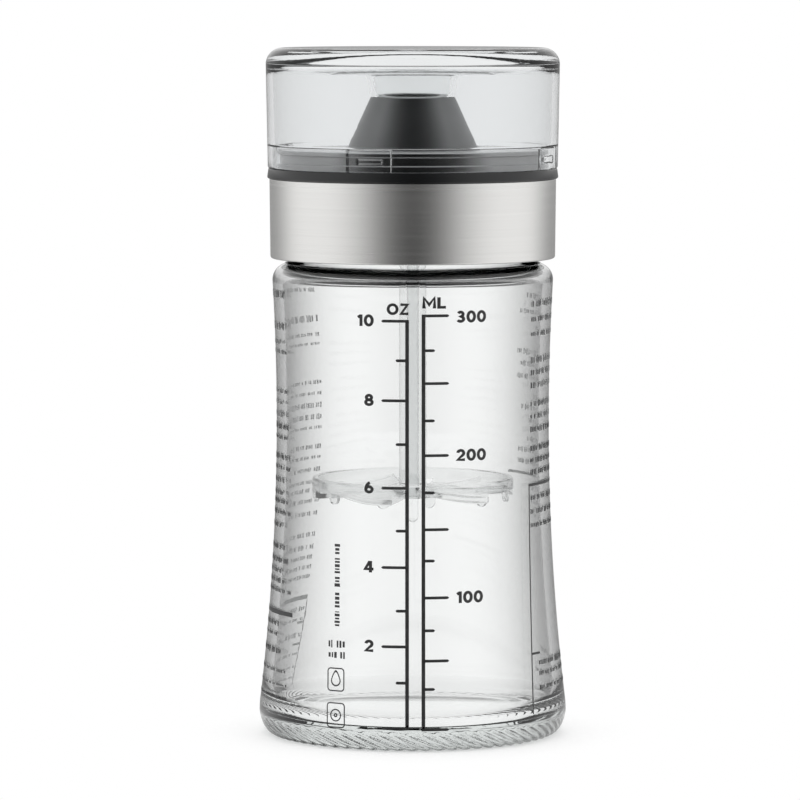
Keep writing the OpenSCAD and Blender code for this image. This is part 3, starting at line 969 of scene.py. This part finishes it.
def tick_layout(tree, given, calc):
    """Two lengths of tick, put at each point: long where the point's long value is 1."""
    if tree is None:
        return [("Long tick", "NodeSocketFloat"), ("Short tick", "NodeSocketFloat"),
                ("Tick thickness", "NodeSocketFloat")]
    nodes, links = tree.nodes, tree.links
    joined = nodes.new("GeometryNodeJoinGeometry")
    is_long = nodes.new("GeometryNodeInputNamedAttribute")
    is_long.data_type = "FLOAT"
    is_long.inputs["Name"].default_value = "long"
    side = nodes.new("GeometryNodeInputNamedAttribute")
    side.data_type = "FLOAT"
    side.inputs["Name"].default_value = "side"
    for label, limit in (("Long tick", "GREATER_THAN"), ("Short tick", "LESS_THAN")):
        bar = film_of(tree, round_bar(tree, given.outputs[label],
                                      given.outputs["Tick thickness"]), given.outputs["Film"])
        put = nodes.new("GeometryNodeInstanceOnPoints")
        links.new(given.outputs["Geometry"], put.inputs["Points"])
        links.new(calc(limit, is_long.outputs[0], 0.5), put.inputs["Selection"])
        links.new(bar, put.inputs["Instance"])
        shift = nodes.new("GeometryNodeTranslateInstances")
        links.new(put.outputs[0], shift.inputs["Instances"])
        way = nodes.new("ShaderNodeCombineXYZ")
        half = calc("MULTIPLY", given.outputs[label], 0.5)
        inner = calc("SUBTRACT", half, calc("MULTIPLY", given.outputs["Tick thickness"], 0.5))
        links.new(calc("MULTIPLY", inner, side.outputs[0]), way.inputs[0])
        links.new(way.outputs[0], shift.inputs["Translation"])
        links.new(shift.outputs[0], joined.inputs[0])
    return joined.outputs[0]


class SHAKER_OT_scale(bpy.types.Operator):
    """Printed scale with its two upright lines, ticks and figures"""
    bl_idname = "shaker.scale"
    bl_label = "Printed scale"

    def execute(self, context):
        sizes = context.scene.shaker_print
        ink = kept("printed_ink")
        line, tick = sizes.line / MM, sizes.tick / MM
        oz_u, ml_u = front_u(407.1), front_u(423.5)
        points, long_ones, sides = [], [], []
        for i, z in enumerate(OZ_HEIGHTS):
            points.append((oz_u * MM, z * MM, 0))
            long_ones.append(1.0 if i % 2 == 0 else 0.0)
            sides.append(-1.0)
        for i, z in enumerate(ML_HEIGHTS):
            points.append((ml_u * MM, z * MM, 0))
            long_ones.append(1.0 if i % 2 == 0 else 0.0)
            sides.append(1.0)
        ticks = points_object("scale_ticks", points, long=long_ones, side=sides)
        tree = wrap_tree("tick_rows", tick_layout)
        values = glass_values()
        values.update({"Long tick": 6.55 * MM, "Short tick": 3.15 * MM,
                       "Tick thickness": sizes.tick})
        evaluated_mesh(ticks, tree, values)
        finished(ticks, ink, "bottle")

        uprights = []
        for u, heights in ((oz_u, OZ_HEIGHTS), (ml_u, ML_HEIGHTS)):
            low, high = heights[0] - tick / 2, heights[-1] + tick / 2
            rows = 60
            pts = []
            for i in range(rows + 1):
                z = low + (high - low) * i / rows
                pts += [(u - line / 2, z), (u + line / 2, z)]
            quads = [[2 * i, 2 * i + 1, 2 * i + 3, 2 * i + 2] for i in range(rows)]
            uprights.append((pts, quads))
        lines = printed("scale_lines", uprights)
        finished(lines, ink, "bottle")

        figure = sizes.figure / MM
        loops = []
        for i in range(2, 11, 2):
            loops += lettered(str(i), front_u(373.4), OZ_HEIGHTS[i] - figure / 2 + 0.1, figure,
                              None, True)
        for i in range(4, 13, 4):
            loops += lettered(str(i * 25), front_u(456.8),
                              ML_HEIGHTS[i] - figure / 2 - (0.3 if i == 12 else 0), figure)
        for text, x0, x1, z in (("OZ", 387, 409, 103.9), ("ML", 422.6, 446, 105.4)):
            loops += lettered(text, front_u(x0), z, figure * 0.96, front_u(x1) - front_u(x0))
        figures = printed("scale_figures", loops)
        finished(figures, ink, "bottle")
        return {"FINISHED"}


def dash_layout(tree, given, calc):
    """One flat dash at each point, as long as the point's length value and as high as its height."""
    if tree is None:
        return []
    nodes, links = tree.nodes, tree.links
    grid = nodes.new("GeometryNodeMeshGrid")
    grid.inputs["Size X"].default_value = 1.0
    grid.inputs["Size Y"].default_value = 1.0
    grid.inputs["Vertices X"].default_value = 4
    grid.inputs["Vertices Y"].default_value = 2
    slab = film_of(tree, grid.outputs[0], given.outputs["Film"])
    put = nodes.new("GeometryNodeInstanceOnPoints")
    links.new(given.outputs["Geometry"], put.inputs["Points"])
    links.new(slab, put.inputs["Instance"])
    size = nodes.new("ShaderNodeCombineXYZ")
    for i, key in enumerate(("length", "height")):
        value = nodes.new("GeometryNodeInputNamedAttribute")
        value.data_type = "FLOAT"
        value.inputs["Name"].default_value = key
        links.new(value.outputs[0], size.inputs[i])
    size.inputs[2].default_value = 1.0
    links.new(size.outputs[0], put.inputs["Scale"])
    return put.outputs[0]


class Chance:
    """Small repeatable sequence of numbers between 0 and 1."""

    def __init__(self, seed):
        self.state = seed * 7919 + 13

    def next(self):
        self.state = (self.state * 1103515245 + 12345) % 2147483648
        return self.state / 2147483648

    def between(self, low, high):
        return low + (high - low) * self.next()


def dash_row(points, lengths, heights, chance, z, start, end, tall, upright=False):
    """Adds a row of dashes like set words between two places along the glass."""
    at = start
    while at < end - 0.6:
        run = min(chance.between(0.9, 4.2), end - at)
        letter = at
        while letter < at + run - 0.25:
            piece = min(chance.between(0.4, 0.95), at + run - letter)
            if upright:
                points.append((z * MM, (letter + piece / 2) * MM, 0))
                lengths.append(tall * chance.between(0.72, 1.0) * MM)
                heights.append(piece * 0.84 * MM)
            else:
                points.append(((letter + piece / 2) * MM, z * MM, 0))
                lengths.append(piece * 0.8 * MM)
                heights.append(tall * chance.between(0.62, 1.0) * MM)
            letter += piece + 0.2
        at += run + chance.between(0.7, 1.1)


class SHAKER_OT_panels(bpy.types.Operator):
    """Dash rows, bars and lines of the two side panels, and the small marks at the lower left"""
    bl_idname = "shaker.panels"
    bl_label = "Side panels"

    def execute(self, context):
        ink = kept("printed_ink")
        chance = Chance(context.scene.shaker_print.panel_seed)
        points, lengths, heights = [], [], []
        bars = []
        right_u, left_u, wide = 33.0, -77.5, 42.5
        right_rows = ((299.6, 308.7), (315.7, 323.4), (331, 338), (356, 365), (369, 377),
                      (381.5, 390), (400, 409), (413, 421), (425.7, 434), (444.6, 453),
                      (456.5, 465), (468, 477), (494, 502), (508, 515.5), (522, 529),
                      (657.5, 666), (669, 675.5), (682.7, 689))
        left_rows = ((291, 302), (323, 334), (342, 348), (352, 357), (391, 397), (403, 408),
                     (413, 422), (425, 434), (438, 443), (456, 464), (468, 474), (480, 487),
                     (493, 499), (501, 508), (512, 519), (525, 532), (546, 554), (559, 567),
                     (570, 577), (580, 587), (590, 596), (622, 630), (634, 639), (648, 657),
                     (669, 674), (683, 687), (695, 699))
        for start, rows in ((right_u, right_rows), (left_u, left_rows)):
            for top, low in rows:
                tall = (low - top) * 0.2365 * 0.72
                run = chance.between(0.55, 0.98) * wide
                z = pixel_z((top + low) / 2, 18)
                if start > 0:
                    inset = 3.0 if top > 640 else 0.6
                    dash_row(points, lengths, heights, chance, z, start + inset, start + run, tall)
                else:
                    dash_row(points, lengths, heights, chance, z, start + 0.6,
                             start + wide - chance.between(0.0, 7.0), tall)
        bars += [(right_u, right_u + wide, pixel_z(485, 18), 0.68),
                 (left_u, left_u + wide + 1, pixel_z(614.5, 18), 1.05),
                 (right_u, right_u + 3.6, pixel_z(652, 18), 0.55),
                 (left_u, left_u + 3.4, 24.6, 0.55), (left_u, left_u + 4.0, 19.3, 0.55)]
        column = front_u(337)
        dash_row(points, lengths, heights, chance, column, 29.4, 49.2, 1.55, True)
        dash_row(points, lengths, heights, chance, 25.2, front_u(328.5), front_u(346.4), 1.95)
        dash_row(points, lengths, heights, chance, 22.6, front_u(328.5), front_u(346.4), 1.65)
        dashes = points_object("panel_dashes", points, length=lengths, height=heights)
        evaluated_mesh(dashes, wrap_tree("dash_rows", dash_layout), glass_values())
        finished(dashes, ink, "bottle")

        loops = []
        for u0, u1, z, thick in bars:
            count = 60
            pts = []
            for i in range(count + 1):
                u = u0 + (u1 - u0) * i / count
                pts += [(u, z - thick / 2), (u, z + thick / 2)]
            loops.append((pts, [[2 * i, 2 * i + 2, 2 * i + 3, 2 * i + 1] for i in range(count)]))
        for u, low, high in ((right_u, 7.4, pixel_z(484, 18)), (left_u, 8.0, 30.0)):
            rows = 30
            pts = []
            for i in range(rows + 1):
                z = low + (high - low) * i / rows
                pts += [(u - 0.2, z), (u + 0.2, z)]
            loops.append((pts, [[2 * i, 2 * i + 1, 2 * i + 3, 2 * i + 2] for i in range(rows)]))
        rules = printed("panel_rules", loops)
        finished(rules, ink, "bottle")

        marks = []
        centre = front_u(336)
        marks += frame_mark(centre, 16.8, 4.7, 5.6, 0.9, 0.3)
        marks += drop_mark(centre, 16.8, 1.35, 0.3)
        marks += frame_mark(centre, 8.4, 5.0, 6.0, 0.9, 0.3)
        marks += ring_mark(centre, 8.4, 1.5, 0.3)
        pictograms = printed("care_marks", marks)
        finished(pictograms, ink, "bottle")
        return {"FINISHED"}


def band_between(inner, outer):
    """Flat closed band between two outlines with as many points each."""
    count = len(inner)
    pts = inner + outer
    quads = [[i, (i + 1) % count, count + (i + 1) % count, count + i] for i in range(count)]
    return pts, quads


def rounded_box(cu, cz, w, h, r, steps=5):
    out = []
    for qx, qz, t0 in ((1, 1, 0), (-1, 1, 90), (-1, -1, 180), (1, -1, 270)):
        for i in range(steps + 1):
            t = math.radians(t0 + 90 * i / steps)
            out.append((cu + qx * (w / 2 - r) + r * math.cos(t),
                        cz + qz * (h / 2 - r) + r * math.sin(t)))
    return out


def frame_mark(cu, cz, w, h, r, line):
    return [band_between(rounded_box(cu, cz, w - 2 * line, h - 2 * line, max(r - line, 0.1)),
                         rounded_box(cu, cz, w, h, r))]


def drop_outline(cu, cz, r, steps=28):
    out = []
    for i in range(steps):
        t = FULL * i / steps
        x = r * math.sin(t)
        y = r * math.cos(t)
        pull = smoothstep(max(math.cos(t), 0)) * 0.85 * r
        out.append((cu + x * (1 - 0.55 * max(math.cos(t), 0) ** 1.5), cz - 0.2 * r + y + pull))
    return out


def drop_mark(cu, cz, r, line):
    return [band_between(drop_outline(cu, cz, r - line), drop_outline(cu, cz, r))]


def ring_mark(cu, cz, r, line):
    def circle(rr):
        return [(cu + rr * math.cos(FULL * i / 28), cz + rr * math.sin(FULL * i / 28))
                for i in range(28)]
    return [band_between(circle(r - line), circle(r)),
            band_between(circle(0.16), circle(0.5))]


# ---- Head ----

class SHAKER_OT_head(bpy.types.Operator):
    """Screw ring, pour plate, brushed steel collar, dark deck with its band and groove, and the spout"""
    bl_idname = "shaker.head"
    bl_label = "Pouring head"

    def execute(self, context):
        pitch = context.scene.shaker_glass.thread_pitch / MM
        dark = kept("moulded_dark_painted_sheen")
        ring_in_r = NECK_R + 1.8
        ring_out_r = ring_in_r + 2.1
        low_z = COLLAR_Z + 0.5
        inner = [(ring_in_r, BAND_Z - 0.02), (ring_in_r, 132.8)]
        z = 132.0
        while z > low_z + 1.2:
            inner.append((ring_in_r, z))
            z -= 0.42
        inner.append((ring_in_r + 0.05, low_z + 0.7))
        profile = inner + [(ring_in_r + 0.45, low_z + 0.1), (ring_in_r + 0.7, low_z + 0.02),
                           (ring_out_r - 0.3, low_z + 0.02), (ring_out_r - 0.02, low_z + 0.3),
                           (ring_out_r + 0.16, BAND_Z - 0.3), (ring_out_r - 0.1, BAND_Z - 0.02)]

        def shape(i, r, z, a):
            if abs(r - ring_in_r) < 0.01 and low_z + 1.2 < z < 131.5:
                ridge = thread_ridge(a, z, SHOULDER_Z + 5.2 + pitch / 2, pitch, 0.95, 1.0)
                return r - 1.1 * ridge, z
            return r, z

        ring = turned("screw_ring_thread", profile, even_angles(288), shape)
        finished(ring, dark, "head", ("screw_ring",))

        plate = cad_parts["pour_plate"]
        plate.data.materials.clear()
        plate.data.materials.append(dark)

        low_r, top_r = COLLAR_TOP_R - 0.2, COLLAR_TOP_R
        sheet, lip = 0.5, 1.1
        profile = rounded([
            (low_r - sheet, COLLAR_Z + sheet, 0.15), (low_r - lip - sheet, COLLAR_Z + sheet, 0.2),
            (low_r - lip - sheet, COLLAR_Z, 0.2), (low_r, COLLAR_Z, 0.75),
            (low_r + 0.1, (COLLAR_Z + BAND_Z) / 2, 0), (top_r, BAND_Z - 0.02, 0.3),
            (top_r - sheet, BAND_Z - 0.02, 0.1)], 0.2, 5)
        collar = turned("collar_sleeve", profile, even_angles(256))
        finished(collar, kept("brushed_steel"), "head", ("steel_collar",), 40)

        deck_r = COLLAR_TOP_R - 1.9
        deck_in_r, deck_wall, tail_r = deck_r - 2.0, 2.0, 13.5
        groove_top, groove_low, groove = DECK_Z - 1.0, DECK_Z - 3.2, 0.65
        profile = rounded([
            (deck_in_r, BAND_Z, 0.1), (BAND_R, BAND_Z, 0.55), (BAND_R - 0.35, CAP_Z - 0.0, 0.3),
            (deck_r + 0.25, CAP_Z, 0), (deck_r, CAP_Z + 0.25, 0.2),
            (deck_r, groove_low, 0.18), (deck_r - groove, groove_low + 0.15, 0.18),
            (deck_r - groove, groove_top - 0.15, 0.18), (deck_r, groove_top, 0.18),
            (deck_r, DECK_Z, 0.55), (17.4, DECK_Z, 0.1), (17.0, DECK_Z - 0.25, 0.1),
            (16.5, DECK_Z - 0.25, 0.1), (16.4, DECK_Z, 0.05), (tail_r + 0.02, DECK_Z, 0),
            (tail_r + 0.02, DECK_Z - deck_wall, 0.2), (deck_in_r, DECK_Z - deck_wall, 0.8)],
            0.2, 4)
        deck = turned("deck_cover", profile, even_angles(256))
        finished(deck, dark, "head", ("deck",), 40)

        cone_z, base_r, spout_r, mouth_r = DECK_Z + 0.6, 15.6, 10.2, 8.0
        profile = rounded([
            (tail_r - 1.8, BAND_Z, 0.1), (tail_r, BAND_Z, 0.3), (tail_r, DECK_Z + 0.02, 0),
            (base_r + 0.6, DECK_Z + 0.02, 0.05), (base_r + 0.6, cone_z, 0.28),
            (base_r, cone_z, 0.35), (spout_r, MOUTH_Z, 0.45), (mouth_r, MOUTH_Z, 0.35),
            (mouth_r, MOUTH_Z - 2.2, 0.1), (tail_r - 1.8, cone_z, 0.4)], 0.2, 5)
        spout = turned("pour_spout", profile, even_angles(224))
        finished(spout, kept("satin_spout_painted_sheen"), "head", ("spout",), 40)
        return {"FINISHED"}


# ---- Cap ----

class SHAKER_OT_cap(bpy.types.Operator):
    """Clear cap with its crown, thin skirt and catch pads, and the milky seal under it"""
    bl_idname = "shaker.cap"
    bl_label = "Clear cap"

    def execute(self, context):
        c = context.scene.shaker_cap
        wall, crown = c.wall / MM, c.crown / MM
        cap_r = CAP_TOP_R - 0.45
        corner = 4.0
        skirt_in_r, skirt_z = cap_r - 1.1, CAP_Z + 5.4
        ceiling_z = CAP_TOP_Z - crown
        boss_z, boss_r, peg_r, peg_len = ceiling_z - 1.35, 20.5, 4.0, 0.9
        deck_r = COLLAR_TOP_R - 1.9
        pad_r, bead_r = deck_r + 0.3, deck_r - 0.65 + 0.3
        bead_low, bead_top = DECK_Z - 3.2 + 0.3, DECK_Z - 1.0 - 0.3
        outer = [(cap_r - 0.55, CAP_Z), (cap_r - 0.25, CAP_Z + 0.06), (cap_r - 0.06, CAP_Z + 0.25),
                 (cap_r, CAP_Z + 0.55)]
        for i in range(1, 9):
            t = i / 9
            z = CAP_Z + (CAP_TOP_Z - corner - CAP_Z) * t
            outer.append((cap_r + (CAP_TOP_R - cap_r) * t, z))
        outer += arc(CAP_TOP_R - corner, CAP_TOP_Z - corner, corner, corner, 0, 90, 14)
        outer += [(22.0, CAP_TOP_Z), (11.0, CAP_TOP_Z), (0.0, CAP_TOP_Z)]
        inner_r = CAP_TOP_R - wall
        inner = [(0.0, boss_z - peg_len)]
        inner += rounded([(0.0, boss_z - peg_len), (peg_r, boss_z - peg_len, 0.5),
                          (peg_r, boss_z, 0.25), (boss_r - 0.7, boss_z, 0.35),
                          (boss_r, ceiling_z, 0.3), (inner_r - 2.3, ceiling_z)],
                         0.2, 3, False)[1:-1]
        inner += arc(inner_r - 2.3, ceiling_z - 2.3, 2.3, 2.3, 90, 0, 8)
        for i in range(1, 8):
            t = i / 8
            z = ceiling_z - 2.3 + (skirt_z + 0.5 - ceiling_z + 2.3) * t
            inner.append((inner_r + (cap_r - wall - inner_r) * t, z))
        inner += [(cap_r - wall, skirt_z + 0.5), (cap_r - wall, skirt_z + 0.38),
                  (cap_r - wall + 0.1, skirt_z + 0.15)]
        rows = [skirt_z, skirt_z - 0.12, skirt_z - 0.35, bead_top + 0.3, bead_top + 0.05,
                bead_top - 0.1, bead_top - 0.5, bead_low + 0.5, bead_low + 0.1,
                bead_low - 0.05, bead_low - 0.3, CAP_Z + 0.8, CAP_Z + 0.4, CAP_Z + 0.15]
        inner += [(skirt_in_r, z) for z in rows] + [(skirt_in_r + 0.15, CAP_Z)]
        profile = outer + inner
        turns = [front_angle(math.degrees(c.pad_turn) + k * 360 / c.pad_count)
                 for k in range(c.pad_count)]
        half_pad = math.asin(5.4 / skirt_in_r)
        half_bead = math.asin(2.95 / bead_r)
        angles = even_angles(240)
        for t in turns:
            for half in (half_pad, half_bead):
                for way in (-1, 1):
                    for extra in (-0.35, -0.2, -0.05, 0.1, 0.25, 0.4):
                        angles.append((t + way * (half + extra / skirt_in_r)) % FULL)
        angles = sorted(set(round(a, 6) for a in angles))
        first_inner = len(outer)

        def shape(i, r, z, a):
            if i < first_inner or abs(r - skirt_in_r) > 0.01:
                return r, z
            near = min(abs(angle_gap(a, t)) for t in turns)
            pad = smoothstep((half_pad - near) * skirt_in_r / 0.45 + 0.5)
            pad *= smoothstep((skirt_z - z) / 0.35) * smoothstep((z - CAP_Z - 0.1) / 0.3)
            rr = r + (pad_r - r) * pad
            bead = smoothstep((half_bead - near) * skirt_in_r / 0.45 + 0.5)
            bead *= smoothstep((bead_top + 0.05 - z) / 0.5) * smoothstep((z - bead_low + 0.05) / 0.5)
            return rr + 0.8 * (bead_r - pad_r) * bead, z

        cap = turned("cap_shell", profile, angles, shape)
        finished(cap, kept("clear_cap"), "cap", ("clear_cap",), 40)

        nose_r, flare_z = 8.0 - 0.07, SEAL_TOP_Z - 2.4
        profile = rounded([(0.0, MOUTH_Z - 1.3), (3.0, MOUTH_Z - 1.35), (5.6, MOUTH_Z - 1.6),
                           (nose_r, MOUTH_Z - 1.8, 0.5), (nose_r, MOUTH_Z + 0.02, 0.05),
                           (10.2, MOUTH_Z + 0.02, 0.2), (10.45, MOUTH_Z + 0.8, 0.3),
                           (11.0, flare_z, 0.3)], 0.2, 4, False)
        profile += arc(13.2, flare_z, 2.2, 2.4, 170, 96, 9)
        profile += rounded([(13.15, SEAL_TOP_Z - 0.02), (peg_r + 0.02, SEAL_TOP_Z - 0.02, 0.05),
                            (peg_r + 0.02, SEAL_TOP_Z - peg_len - 0.02, 0.2),
                            (0.0, SEAL_TOP_Z - peg_len - 0.02)], 0.2, 3, False)
        seal = turned("spout_plug", profile, even_angles(192))
        finished(seal, kept("milky_seal"), "cap", ("spout_seal",), 40)
        return {"FINISHED"}


# ---- Mixer ----

class SHAKER_OT_mixer(bpy.types.Operator):
    """Clear stem tube, core pin, mixer disc and the rim seal"""
    bl_idname = "shaker.mixer"
    bl_label = "Mixer"

    def execute(self, context):
        clear = kept("clear_mixer")
        bore = PIN_R + 0.08
        profile = rounded([(bore, TUBE_LOW_Z, 0.15), (TUBE_R, TUBE_LOW_Z, 0.35),
                           (TUBE_R, TUBE_TOP_Z, 0.35), (bore, TUBE_TOP_Z, 0.15)], 0.2, 4)
        tube = turned("stem_tube", profile, even_angles(96))
        finished(tube, clear, "mixer", ("mixer_tube",), 40)

        profile = [(0.0, PIN_LOW_Z)] + arc(0, PIN_LOW_Z + PIN_R, PIN_R, PIN_R, -75, 0, 6)
        profile += [(PIN_R, 0.5 * (PIN_LOW_Z + PIN_TOP_Z)), (PIN_R, PIN_TOP_Z - 0.3),
                    (PIN_R - 0.3, PIN_TOP_Z), (0.0, PIN_TOP_Z)]
        pin = turned("core_pin", profile, even_angles(64))
        finished(pin, kept("clear_core"), "mixer", ("mixer_pin",), 40)

        for name, material in (("mixer_disc", clear), ("rim_seal", kept("grey_seal"))):
            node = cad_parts[name]
            node.data.materials.clear()
            node.data.materials.append(material)
        return {"FINISHED"}


# ---- Studio ----

class SHAKER_OT_studio(bpy.types.Operator):
    """Pale floor, soft lamps, white surroundings and the camera"""
    bl_idname = "shaker.studio"
    bl_label = "Studio"

    def execute(self, context):
        s = context.scene.shaker_studio
        scene = context.scene
        scene.view_settings.view_transform = "Standard"

        rings, count = 40, 96
        verts, faces = [(0.0, 0.0, 0.0)], []
        for i in range(1, rings + 1):
            r = s.floor_r * (i / rings) ** 1.6
            for a in even_angles(count):
                verts.append((r * math.cos(a), r * math.sin(a), 0.0))
        for j in range(count):
            faces.append([0, 1 + j, 1 + (j + 1) % count])
        for i in range(rings - 1):
            for j in range(count):
                k = (j + 1) % count
                faces.append([1 + i * count + j, 1 + (i + 1) * count + j,
                              1 + (i + 1) * count + k, 1 + i * count + k])
        floor = object_from("studio_floor", verts, faces, False)
        floor.data.materials.append(floor_material(s.floor_r))

        world = bpy.data.worlds.new("studio_white")
        scene.world = world
        studio_world(world)

        for name, place, size, power, aim in (
                ("lamp_top", (0.0, -0.1, 1.3), 1.2, 5.0, (0, 0, 0.05)),
                ("lamp_left", (-1.2, -0.7, 0.8), 0.9, 2.6, (0, 0, 0.1)),
                ("lamp_right", (1.2, -0.7, 0.8), 0.9, 2.6, (0, 0, 0.1)),
                ("lamp_back", (0.0, 1.3, 0.9), 0.9, 2.2, (0, 0, 0.1))):
            data = bpy.data.lights.new(name, "AREA")
            data.shape = "DISK"
            data.size = size
            data.energy = power
            lamp = bpy.data.objects.new(name, data)
            lamp.location = place
            lamp.rotation_euler = (Vector(aim) - Vector(place)).to_track_quat(
                "-Z", "Y").to_euler()
            lamp.visible_glossy = False
            lamp.visible_transmission = False
            scene.collection.objects.link(lamp)

        camera = bpy.data.cameras.new("photo_camera")
        camera.sensor_width = 36
        camera.lens = s.lens
        camera.clip_start = 0.05
        camera.clip_end = 50
        view = bpy.data.objects.new("photo_camera", camera)
        view.location = (s.camera_x, -s.camera_y, s.camera_z)
        aim = Vector((s.camera_x, 0, s.look_z)) - view.location
        view.rotation_euler = aim.to_track_quat("-Z", "Y").to_euler()
        scene.collection.objects.link(view)
        scene.camera = view
        return {"FINISHED"}


def soft_boxes(n, x, y):
    """Level of the lit surroundings by direction: dark in front, brightest at both sides."""
    flat = n.math("SQRT", n.math("ADD", n.math("MULTIPLY", x, x), n.math("MULTIPLY", y, y)))
    front = n.math("DIVIDE", n.math("MULTIPLY", y, -1.0), n.math("MAXIMUM", flat, 0.0001))
    place = n.add("ShaderNodeMapRange")
    n.link(front, place.inputs["Value"])
    place.inputs["From Min"].default_value = -1
    place.inputs["From Max"].default_value = 1
    ramp = n.add("ShaderNodeValToRGB")
    n.link(place.outputs["Result"], ramp.inputs[0])
    stops = ((-1.0, 0.35), (-0.8, 0.38), (-0.59, 0.62), (-0.39, 0.95), (-0.2, 1.06), (0.3, 1.06),
             (0.5, 0.98), (0.71, 0.78), (0.85, 0.48), (0.95, 0.20), (1.0, 0.07))
    elements = ramp.color_ramp.elements
    while len(elements) < len(stops):
        elements.new(0.5)
    for e, (cosine, level) in zip(elements, stops):
        e.position = (cosine + 1) / 2
        e.color = (level, level, level, 1)
    return ramp.outputs[0], front


def floor_material(reach):
    """Pale floor that takes the shadow near the object; further out it glows plain white to the camera and
    with the soft boxes' levels in reflections, and seen through glass it glows white also in that shadow;
    the last two are painted light.
    """
    mat = bpy.data.materials.new("studio_floor")
    n = Nodes(mat)
    coords = n.add("ShaderNodeTexCoord")
    away = n.add("ShaderNodeVectorMath", operation="LENGTH")
    n.link(coords.outputs["Object"], away.inputs[0])
    far = n.add("ShaderNodeMapRange", interpolation_type="SMOOTHSTEP")
    n.link(away.outputs["Value"], far.inputs["Value"])
    far.inputs["From Min"].default_value = 0.024
    far.inputs["From Max"].default_value = 0.058
    body = n.principled()
    n.put(body, Base_Color=(0.96, 0.96, 0.96, 1), Roughness=0.7)
    body.inputs["Specular IOR Level"].default_value = 0.1
    # Painted light: to reflections the floor glows with the soft boxes' levels, to the camera and through
    # glass it glows white.
    split = n.add("ShaderNodeSeparateXYZ")
    n.link(coords.outputs["Object"], split.inputs[0])
    shaped, _ = soft_boxes(n, split.outputs[0], split.outputs[1])
    path = n.add("ShaderNodeLightPath")
    straight = n.math("MAXIMUM", path.outputs["Is Camera Ray"],
                      path.outputs["Is Transmission Ray"])
    level = n.add("ShaderNodeMix", data_type="RGBA")
    n.link(n.math("SUBTRACT", 1.0, straight), level.inputs["Factor"])
    level.inputs["A"].default_value = (1, 1, 1, 1)
    n.link(shaped, level.inputs["B"])
    glow = n.add("ShaderNodeEmission")
    n.link(level.outputs["Result"], glow.inputs["Color"])
    seen = n.math("MAXIMUM", path.outputs["Is Camera Ray"],
                  n.math("MAXIMUM", path.outputs["Is Glossy Ray"],
                         path.outputs["Is Transmission Ray"]))
    # Painted light: seen through glass the floor glows nearly white also near the object, in the shade
    # under the bottle.
    through = n.math("MULTIPLY", path.outputs["Is Transmission Ray"], 0.94)
    share = n.math("MULTIPLY", seen, n.math("MAXIMUM", far.outputs["Result"], through))
    mix = n.add("ShaderNodeMixShader")
    n.link(share, mix.inputs[0])
    n.link(body.outputs[0], mix.inputs[1])
    n.link(glow.outputs[0], mix.inputs[2])
    n.out(mix.outputs[0])
    return mat


def studio_world(world):
    """White for the camera and for what is seen through glass; shaped soft boxes for reflections."""
    n = Nodes(world)
    coords = n.add("ShaderNodeTexCoord")
    split = n.add("ShaderNodeSeparateXYZ")
    n.link(coords.outputs["Generated"], split.inputs[0])
    shaped, front = soft_boxes(n, split.outputs[0], split.outputs[1])
    high = n.add("ShaderNodeMapRange", interpolation_type="SMOOTHSTEP")
    n.link(split.outputs[2], high.inputs["Value"])
    high.inputs["From Min"].default_value = 0.78
    high.inputs["From Max"].default_value = 0.97
    rear = n.add("ShaderNodeMapRange", interpolation_type="SMOOTHSTEP")
    n.link(split.outputs[2], rear.inputs["Value"])
    rear.inputs["From Min"].default_value = 0.0
    rear.inputs["From Max"].default_value = 0.12
    path = n.add("ShaderNodeLightPath")
    behind = n.math("MULTIPLY", n.math("MULTIPLY", front, -2.0, True),
                    n.math("MAXIMUM", rear.outputs["Result"], path.outputs["Is Transmission Ray"]))
    mirror = n.add("ShaderNodeMix", data_type="RGBA")
    n.link(n.math("MAXIMUM", high.outputs["Result"], behind), mirror.inputs["Factor"])
    n.link(shaped, mirror.inputs["A"])
    mirror.inputs["B"].default_value = (1, 1, 1, 1)
    inside = n.math("MULTIPLY", n.math("GREATER_THAN", path.outputs["Glossy Depth"], 0.5),
                    n.math("GREATER_THAN", path.outputs["Transmission Depth"], 1.5))
    inside = n.math("MULTIPLY", inside, path.outputs["Is Transmission Ray"])
    straight = n.math("MULTIPLY", path.outputs["Is Transmission Ray"],
                      n.math("SUBTRACT", 1.0, inside))
    plain = n.math("MAXIMUM", path.outputs["Is Camera Ray"], straight)
    white = n.add("ShaderNodeMix", data_type="RGBA")
    n.link(plain, white.inputs["Factor"])
    n.link(mirror.outputs["Result"], white.inputs["A"])
    white.inputs["B"].default_value = (1, 1, 1, 1)
    back = n.add("ShaderNodeBackground")
    n.link(white.outputs["Result"], back.inputs["Color"])
    n.out(back.outputs[0], kind="ShaderNodeOutputWorld")


# ---- Panel and registration ----

STEPS = ("studio", "glass", "scale", "panels", "head", "cap", "mixer")


class SHAKER_PT_panel(bpy.types.Panel):
    """Lists the pieces of the shaker bottle"""
    bl_label = "Shaker bottle"
    bl_space_type = "VIEW_3D"
    bl_region_type = "UI"
    bl_category = "Shaker"

    def draw(self, context):
        for name in STEPS:
            self.layout.operator("shaker." + name)


GROUPS = (("shaker_glass", GlassSizes), ("shaker_cap", CapSizes), ("shaker_print", PrintSizes),
          ("shaker_finishes", Finishes), ("shaker_studio", StudioSettings))
CLASSES = (SHAKER_OT_glass, SHAKER_OT_scale, SHAKER_OT_panels, SHAKER_OT_head, SHAKER_OT_cap,
           SHAKER_OT_mixer, SHAKER_OT_studio, SHAKER_PT_panel)


def register():
    for name, group in GROUPS:
        bpy.utils.register_class(group)
        setattr(bpy.types.Scene, name, PointerProperty(type=group))
    for item in CLASSES:
        bpy.utils.register_class(item)


def unregister():
    for item in reversed(CLASSES):
        bpy.utils.unregister_class(item)
    for name, group in reversed(GROUPS):
        delattr(bpy.types.Scene, name)
        bpy.utils.unregister_class(group)


def main():
    register()
    for name in STEPS:
        getattr(bpy.ops.shaker, name)()


if __name__ == "__main__":
    main()
